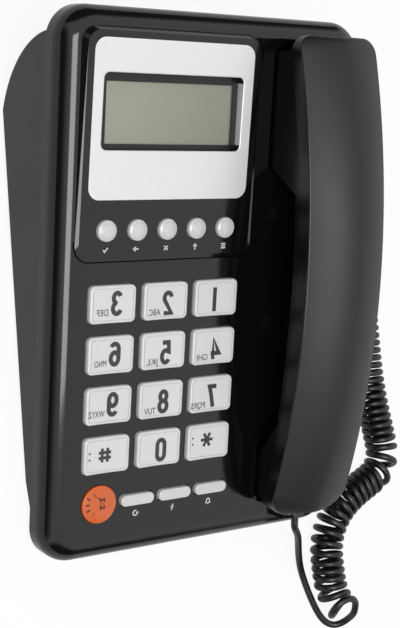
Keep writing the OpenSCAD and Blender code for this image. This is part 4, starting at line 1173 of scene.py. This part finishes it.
@dataclass
class HandsetCrown:
    """The handset's outer shell: an arched crown with a fine bead along its parting edge."""

    x: float = 41.5
    y: float = 2.75
    length: float = 185.46
    width: float = 37.0
    end_height: float = 13.6
    rise: float = 13.8
    crown: float = 9.0
    edge: float = 5.0
    end_round: float = 2.0
    front_corner: float = 9.0
    rear_corner: float = 6.0
    bead: Point2 = (0.5, 0.7)
    bead_steps: int = 5
    polish_proud: float = 0.03
    polish_deep: float = 0.15
    polish_deg: Point2 = (5.0, 85.0)
    polish_steps: int = 6
    fullness: float = 1.7
    lift: float = 0.05
    steps: int = 120
    round_steps: int = 48

    def parting(self, along: float) -> float:
        """Height of the parting line.

        Args:
            along: place along the handset from its middle.

        Returns:
            Height above the face.
        """
        radius = ((self.length / 2) ** 2 + self.rise ** 2) / (2 * self.rise)
        return self.end_height + self.rise - radius + math.sqrt(radius ** 2 - along ** 2)

    def reach(self, along: float) -> float:
        """Half the crown's width.

        Args:
            along: place along the handset from its middle.

        Returns:
            Half the width.
        """
        corner = self.front_corner if along < 0 else self.rear_corner
        shy = max(corner - (self.length / 2 - abs(along)), 0.0)
        return self.width / 2 - corner + math.sqrt(max(corner ** 2 - shy ** 2, 0.0))

    def polish(self, along: float, side: int) -> list[Vector]:
        """One cross-section of the polished skin on the bead.

        Args:
            along: place along the handset from its middle.
            side: 1 for the right edge, -1 for the left edge.

        Returns:
            The section's points.
        """
        wide, high = self.bead
        proud, deep = self.polish_proud, self.polish_deep
        first, last = self.polish_deg
        outer = arc((0, 0), (wide + proud, high + proud), first, last, self.polish_steps)
        inner = arc((0, 0), (wide - deep, high - deep), last, first, self.polish_steps)
        start = self.reach(along) - wide
        base = self.parting(along) + self.lift
        return [FACE.point(self.x + side * (start + a), self.y + along, base + b) for a, b in outer + inner]

    def section(self, along: float) -> list[Vector]:
        """One cross-section of the crown, from the right edge over the top to the left edge.

        Args:
            along: place along the handset from its middle.

        Returns:
            The section's points.
        """
        half = self.length / 2
        near = max(self.end_round - half + abs(along), 0.0)
        swell = math.sqrt(max(1 - (along / half) ** 2, 0.0))
        height = (self.edge + (self.crown - self.edge) * swell - self.end_round
                  + math.sqrt(max(self.end_round ** 2 - near ** 2, 0.0)))
        reach = self.reach(along)
        base = self.parting(along) + self.lift
        wide, high = self.bead
        outline = [(reach - wide + a, b) for a, b in arc((0, 0), self.bead, 0, 90, self.bead_steps)]
        for k in range(1, self.round_steps):
            across = math.cos(math.pi * k / self.round_steps)
            outline.append(((reach - wide) * across,
                            high + (height - high) * (1 - abs(across) ** self.fullness)))
        outline += [(-a, b) for a, b in reversed(outline[:self.bead_steps + 1])]
        return [FACE.point(self.x + a, self.y + along, base + b) for a, b in outline]

    def build(self) -> None:
        """Build the crown, which stands for the CAD outer shell, and the polished skin on its bead."""
        draft = MeshDraft()
        places = [-math.cos(math.pi * i / self.steps) * self.length / 2 for i in range(self.steps + 1)]
        loft(draft, [self.section(a) for a in places])
        piece = draft.build("handset_crown", Finishes.CROWN_ABS)
        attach(piece, "handset")
        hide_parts("handset_outer_shell")
        skin = MeshDraft()
        for side in (1, -1):
            loft(skin, [self.polish(a, side) for a in places[1:-1][::side]])
        piece = skin.build("handset_bead", Finishes.BEAD_ABS)
        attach(piece, "handset")


@dataclass
class CurlyCord:
    """The curly cord from the socket in the body's right side to the handset's front end.

    The axis of the curls and the two tails are the solids' own points, in millimetres of the row frame.
    """

    thickness: float = 2.9
    core: float = 2.7
    curl_width: float = 14.0
    turn_from: float = 90.0
    turn_to: float = 52 * 360 + 190.0
    turn_look: float = 20.0
    most_closer: float = 0.8
    least_step: float = 0.001
    rings_per_curl: int = 24
    sides: int = 12
    axis_height: float = 7.1
    tail_step: float = 1.3
    curve_steps: int = 24
    base_end: Point3 = (71.2, 44.14, 17.0)
    handset_end: Point3 = (41.5, -95.51, 23.69)
    handset_way: Point3 = (0.0, -0.9813, -0.1925)
    axis: tuple[Point3, ...] = (
        (92, 28, 0), (93, 20, 0), (95, 8, 0), (97, -10, 0), (98, -26, 0), (98.5, -40, 0), (100, -53, 0),
        (102, -62.5, 0), (104, -71.5, 0), (105.5, -79.5, 0), (102, -87, 0), (94, -90.5, 0), (86, -94, 0),
        (78.5, -99, 0), (72.5, -106.5, 0), (70, -115.5, 0), (70.8, -124, 0), (71.2, -130.2, 0.1),
        (72, -135.2, 0.9), (73, -139.4, 3.4), (73.4, -141.4, 6.9))
    handset_tail: tuple[Point3, ...] = (
        (80.5, -147, 7.5), (76, -150.5, 3.2), (71, -147.5, 1.5), (67, -141, 1.5), (63.5, -133, 1.5),
        (60, -124, 2), (56.5, -117, 5.5), (52, -110, 11.5), (47, -104.5, 18))
    base_tail: tuple[Point3, ...] = ((81, 42.5, 17), (84, 38, 17), (85.5, 32, 15))
    give_from: float = 61.0
    give_to: float = 43.0

    def curve(self, points: Sequence[Vector]) -> list[Vector]:
        """Run a clamped cubic curve past a list of points.

        Args:
            points: the points.

        Returns:
            Closely spaced points of the curve.
        """
        held = [points[0]] * 2 + list(points) + [points[-1]] * 2
        line = []
        for a, b, c, d in zip(held, held[1:], held[2:], held[3:]):
            for k in range(self.curve_steps):
                t = k / self.curve_steps
                s = 1 - t
                line.append((s ** 3 * a + (3 * t ** 3 - 6 * t * t + 4) * b
                             + (3 * s ** 3 - 6 * s * s + 4) * c + t ** 3 * d) / 6)
        return line + [points[-1]]

    def coil(self) -> list[Vector]:
        """Wind the curls round their axis, closer on the inside of a bend.

        Returns:
            Points of the helix, from the base's end to the handset's end.
        """
        radius = (self.curl_width - self.core) / 2
        line = self.curve([Vector(p) + Vector((0, 0, self.axis_height)) for p in self.axis])
        ways = directions(line)
        sums = [0.0]
        for p, q, u, v in zip(line, line[1:], ways, ways[1:]):
            step = (q - p).length
            bend = (v - u).length / max(step, self.least_step)
            sums.append(sums[-1] + step * (1 - min(radius * bend, self.most_closer)))
        span = self.turn_to - self.turn_from
        turns = [self.turn_from + s / sums[-1] * span for s in sums]

        def on_axis(angle: float) -> Vector:
            """The axis point at a turn angle.

            Args:
                angle: the turn, in degrees.

            Returns:
                The point, in millimetres.
            """
            angle = min(max(angle, turns[0]), turns[-1])
            i = min(max(bisect.bisect_left(turns, angle), 1), len(turns) - 1)
            share = (angle - turns[i - 1]) / max(turns[i] - turns[i - 1], TINY)
            return line[i - 1].lerp(line[i], share)

        points = []
        steps = int(span * self.rings_per_curl / 360)
        for k in range(steps + 1):
            angle = self.turn_from + k * span / steps
            way = (on_axis(angle + self.turn_look) - on_axis(angle - self.turn_look)).normalized()
            side = Vector((way.y, -way.x, 0)).normalized()
            c, s = math.cos(math.radians(angle)), math.sin(math.radians(angle))
            points.append(on_axis(angle) + radius * (side * c + side.cross(way) * s))
        return points

    def even(self, line: Sequence[Vector]) -> list[Vector]:
        """Take a line again at even steps.

        Args:
            line: closely spaced points.

        Returns:
            Points about a tail step apart, with the same ends.
        """
        sums = [0.0]
        for p, q in zip(line, line[1:]):
            sums.append(sums[-1] + (q - p).length)
        count = math.ceil(sums[-1] / self.tail_step)
        points, i = [], 1
        for k in range(count + 1):
            target = sums[-1] * k / count
            while i < len(sums) - 1 and sums[i] < target:
                i += 1
            share = (target - sums[i - 1]) / max(sums[i] - sums[i - 1], TINY)
            points.append(line[i - 1].lerp(line[i], min(max(share, 0.0), 1.0)))
        return points

    def route(self) -> list[Vector]:
        """The whole middle line of the cord, in millimetres.

        Returns:
            Points from the body's socket to the handset.
        """
        coil = self.coil()
        base, grip = Vector(self.base_end), Vector(self.handset_end)
        out = Vector((self.core, 0, 0))
        way = Vector(self.handset_way) * self.core
        into = (coil[1] - coil[0]).normalized() * self.core
        leave = (coil[-1] - coil[-2]).normalized() * self.core
        first = self.even(self.curve([base + out, base + 2 * out, *map(Vector, self.base_tail),
                                      coil[0] - into, coil[0]]))
        last = self.even(self.curve([coil[-1], coil[-1] + leave, *map(Vector, self.handset_tail),
                                     grip + 2 * way, grip + way]))
        return [base, *first[:-1], *coil, *last[1:], grip]

    def build(self) -> None:
        """Build the cord's sheath as one tube, which stands for the CAD cord."""
        line = [p * MM for p in self.route()]
        ways = directions(line)
        # Any direction across the line does for the first ring, and each next ring turns as little as it can
        side = ways[0].cross(Vector((0.3, 0.5, 0.8))).normalized()
        radius = self.thickness / 2 * MM
        angles = [2 * math.pi * j / self.sides for j in range(self.sides)]
        rings = []
        for p, way in zip(line, ways):
            side = (side - way * side.dot(way)).normalized()
            up = way.cross(side)
            rings.append([p + (side * math.cos(a) + up * math.sin(a)) * radius for a in angles])
        draft = MeshDraft()
        loft(draft, rings)
        piece = draft.build("cord_sheath", Finishes.SHEATH, sharp_deg=60.0)
        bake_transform(piece)
        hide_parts("curly_cord")


def directions(line: Sequence[Vector]) -> list[Vector]:
    """Directions along a line of points.

    Args:
        line: the points.

    Returns:
        One unit vector for each point.
    """
    last = len(line) - 1
    return [(line[min(i + 1, last)] - line[max(i - 1, 0)]).normalized() for i in range(last + 1)]


@dataclass
class Studio:
    """A white tent with dark ends, a white table, a soft box and the photograph's camera."""

    camera_at: Point3 = (-311.869, -1.800, 470.182)
    camera_way: Point3 = (0.573493, -0.018709, -0.818997)
    camera_up: Point3 = (0.059204, 0.998072, 0.018657)
    focal_px: float = 1417.4
    frame_px: tuple[int, int] = (400, 628)
    sensor: float = 36.0
    near: float = 0.01
    tent: float = 0.48
    tent_glare: float = 0.95
    tent_dark: float = 0.06
    tent_front: Point2 = (-0.84, -0.7)
    tent_rear: Point2 = (0.6, 0.74)
    tent_left: Point2 = (-0.92, -0.66)
    floor_half: float = 3.0
    floor_white: str = "#ffffff"
    floor_glare: float = 0.65
    shadow_share: float = 0.1
    box_at: Point3 = (-0.36, -0.2, 1.15)
    box_aim: Point3 = (0.0, 0.0, 0.03)
    box_size: Point2 = (0.55, 0.7)
    box_radiance: float = 6.2

    @staticmethod
    def placed(at: Vector, way: Vector, up: Vector) -> Matrix:
        """Place a camera or a lamp.

        Args:
            at: its place.
            way: the direction that it looks in.
            up: the direction of its upper side.

        Returns:
            Its matrix.
        """
        right = way.cross(up).normalized()
        place = Matrix((right, right.cross(way).normalized(), -way.normalized())).transposed().to_4x4()
        place.translation = at
        return place

    def camera(self) -> None:
        """Set up the camera at the photograph's viewing angle."""
        data = bpy.data.cameras.new("photo_camera")
        data.sensor_width = self.sensor
        data.lens = self.focal_px * self.sensor / max(self.frame_px)
        data.clip_start = self.near
        camera = bpy.data.objects.new("photo_camera", data)
        camera.matrix_world = self.placed(Vector(self.camera_at) * MM, Vector(self.camera_way),
                                          Vector(self.camera_up))
        bpy.context.scene.collection.objects.link(camera)
        bpy.context.scene.camera = camera

    @staticmethod
    def seen(tree: bpy.types.NodeTree, *rays: str) -> bpy.types.NodeSocket:
        """Tell whether a ray is one of some kinds.

        Args:
            tree: the node tree.
            rays: names of the light path's outputs.

        Returns:
            A socket with 1 for these rays and 0 for others.
        """
        path = add_node(tree, "ShaderNodeLightPath")
        socket = path.outputs[rays[0]]
        for ray in rays[1:]:
            socket = add_node(tree, "ShaderNodeMath", {"operation": "MAXIMUM"},
                              {0: socket, 1: path.outputs[ray]}).outputs[0]
        return socket

    def world(self) -> None:
        """Light the scene with a tent: white to the camera and through glass, with dark ends in the gloss."""
        world = bpy.data.worlds.new("white_tent")
        world.use_nodes = True
        tree = world.node_tree
        tree.nodes.clear()
        way = add_node(tree, "ShaderNodeSeparateXYZ", None,
                       {"Vector": add_node(tree, "ShaderNodeTexCoord").outputs["Generated"]})
        dark, bright = self.tent_dark, self.tent_glare
        walls = (("X", self.tent_left, dark, bright), ("Y", self.tent_front, dark, bright),
                 ("Y", self.tent_rear, bright, dark))
        sides = [add_node(tree, "ShaderNodeMapRange", {
            "From Min": span[0], "From Max": span[1], "To Min": low, "To Max": high,
        }, {"Value": way.outputs[axis]}).outputs["Result"] for axis, span, low, high in walls]
        glare = sides[0]
        for side in sides[1:]:
            glare = add_node(tree, "ShaderNodeMath", {"operation": "MINIMUM"}, {0: glare, 1: side}).outputs[0]
        level = add_node(tree, "ShaderNodeMix", {"data_type": "FLOAT", 2: self.tent},
                         {0: self.seen(tree, "Is Glossy Ray"), 3: glare})
        level = add_node(tree, "ShaderNodeMix", {"data_type": "FLOAT", 3: 1.0},
                         {0: self.seen(tree, "Is Camera Ray", "Is Transmission Ray"), 2: level.outputs[0]})
        light = add_node(tree, "ShaderNodeBackground", {"Color": (1.0, 1.0, 1.0, 1.0)},
                         {"Strength": level.outputs[0]})
        add_node(tree, "ShaderNodeOutputWorld", None, {"Surface": light.outputs["Background"]})
        bpy.context.scene.world = world

    def floor(self) -> None:
        """Lay the white table, which keeps a faint shadow."""
        half = self.floor_half
        corners = [(-half, -half, 0), (half, -half, 0), (half, half, 0), (-half, half, 0)]
        mesh = bpy.data.meshes.new("table")
        mesh.from_pydata(corners, [], [(0, 1, 2, 3)])
        table = bpy.data.objects.new("table", mesh)
        bpy.context.scene.collection.objects.link(table)
        material, tree = new_material("paper_white_sweep")
        share = add_node(tree, "ShaderNodeMath", {"operation": "MULTIPLY", 1: 1 - self.shadow_share},
                         {0: self.seen(tree, "Is Camera Ray", "Is Glossy Ray", "Is Transmission Ray")})
        paper = add_node(tree, "ShaderNodeBsdfDiffuse", {"Color": linear(self.floor_white)})
        level = add_node(tree, "ShaderNodeMapRange", {"To Min": 1.0, "To Max": self.floor_glare},
                         {"Value": self.seen(tree, "Is Glossy Ray")})
        white = add_node(tree, "ShaderNodeEmission", {"Color": (1.0, 1.0, 1.0, 1.0)},
                         {"Strength": level.outputs["Result"]})
        mixed = add_node(tree, "ShaderNodeMixShader", None,
                         {0: share.outputs[0], 1: paper.outputs["BSDF"], 2: white.outputs["Emission"]})
        show(tree, mixed.outputs["Shader"])
        mesh.materials.append(material)

    def soft_box(self) -> None:
        """Hang the soft box to the left, turned at the telephone."""
        lamp = bpy.data.lights.new("soft_box", "AREA")
        lamp.shape = "RECTANGLE"
        lamp.size, lamp.size_y = self.box_size
        lamp.energy = self.box_radiance * math.pi * self.box_size[0] * self.box_size[1]
        box = bpy.data.objects.new("soft_box", lamp)
        at = Vector(self.box_at)
        box.matrix_world = self.placed(at, Vector(self.box_aim) - at, Vector((0, 1, 0)))
        box.visible_camera = False
        bpy.context.scene.collection.objects.link(box)

    def build(self) -> None:
        """Build the studio."""
        self.camera()
        self.world()
        self.floor()
        self.soft_box()
        bpy.context.scene.view_settings.view_transform = "Standard"


def dress_nodes(nodes: dict[str, bpy.types.Object]) -> None:
    """Give every CAD node its finish.

    Args:
        nodes: the CAD nodes by name.
    """
    by_node = {node: finish for finish, names in NODE_FINISHES.items() for node in names}
    for name, node in nodes.items():
        finish = by_node[name]
        node.data.materials.clear()
        node.data.materials.append(finish.material)
        LOG.info("%s is %s", name, finish.value.name)
    # The lens is clear, so it throws no shade on the display under it
    nodes["display_lens"].visible_shadow = False
    nodes["display_lens"].visible_diffuse = False


def main() -> None:
    """Build the telephone in order."""
    logging.basicConfig(level=logging.INFO, format="%(name)s: %(message)s")
    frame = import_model()
    Studio().build()
    CurlyCord().build()
    dress_nodes(frame["nodes"])
    HandsetCrown().build()
    DisplayTrim().build()
    Keypad().build()
    Buttons().build()


if __name__ == "__main__":
    main()
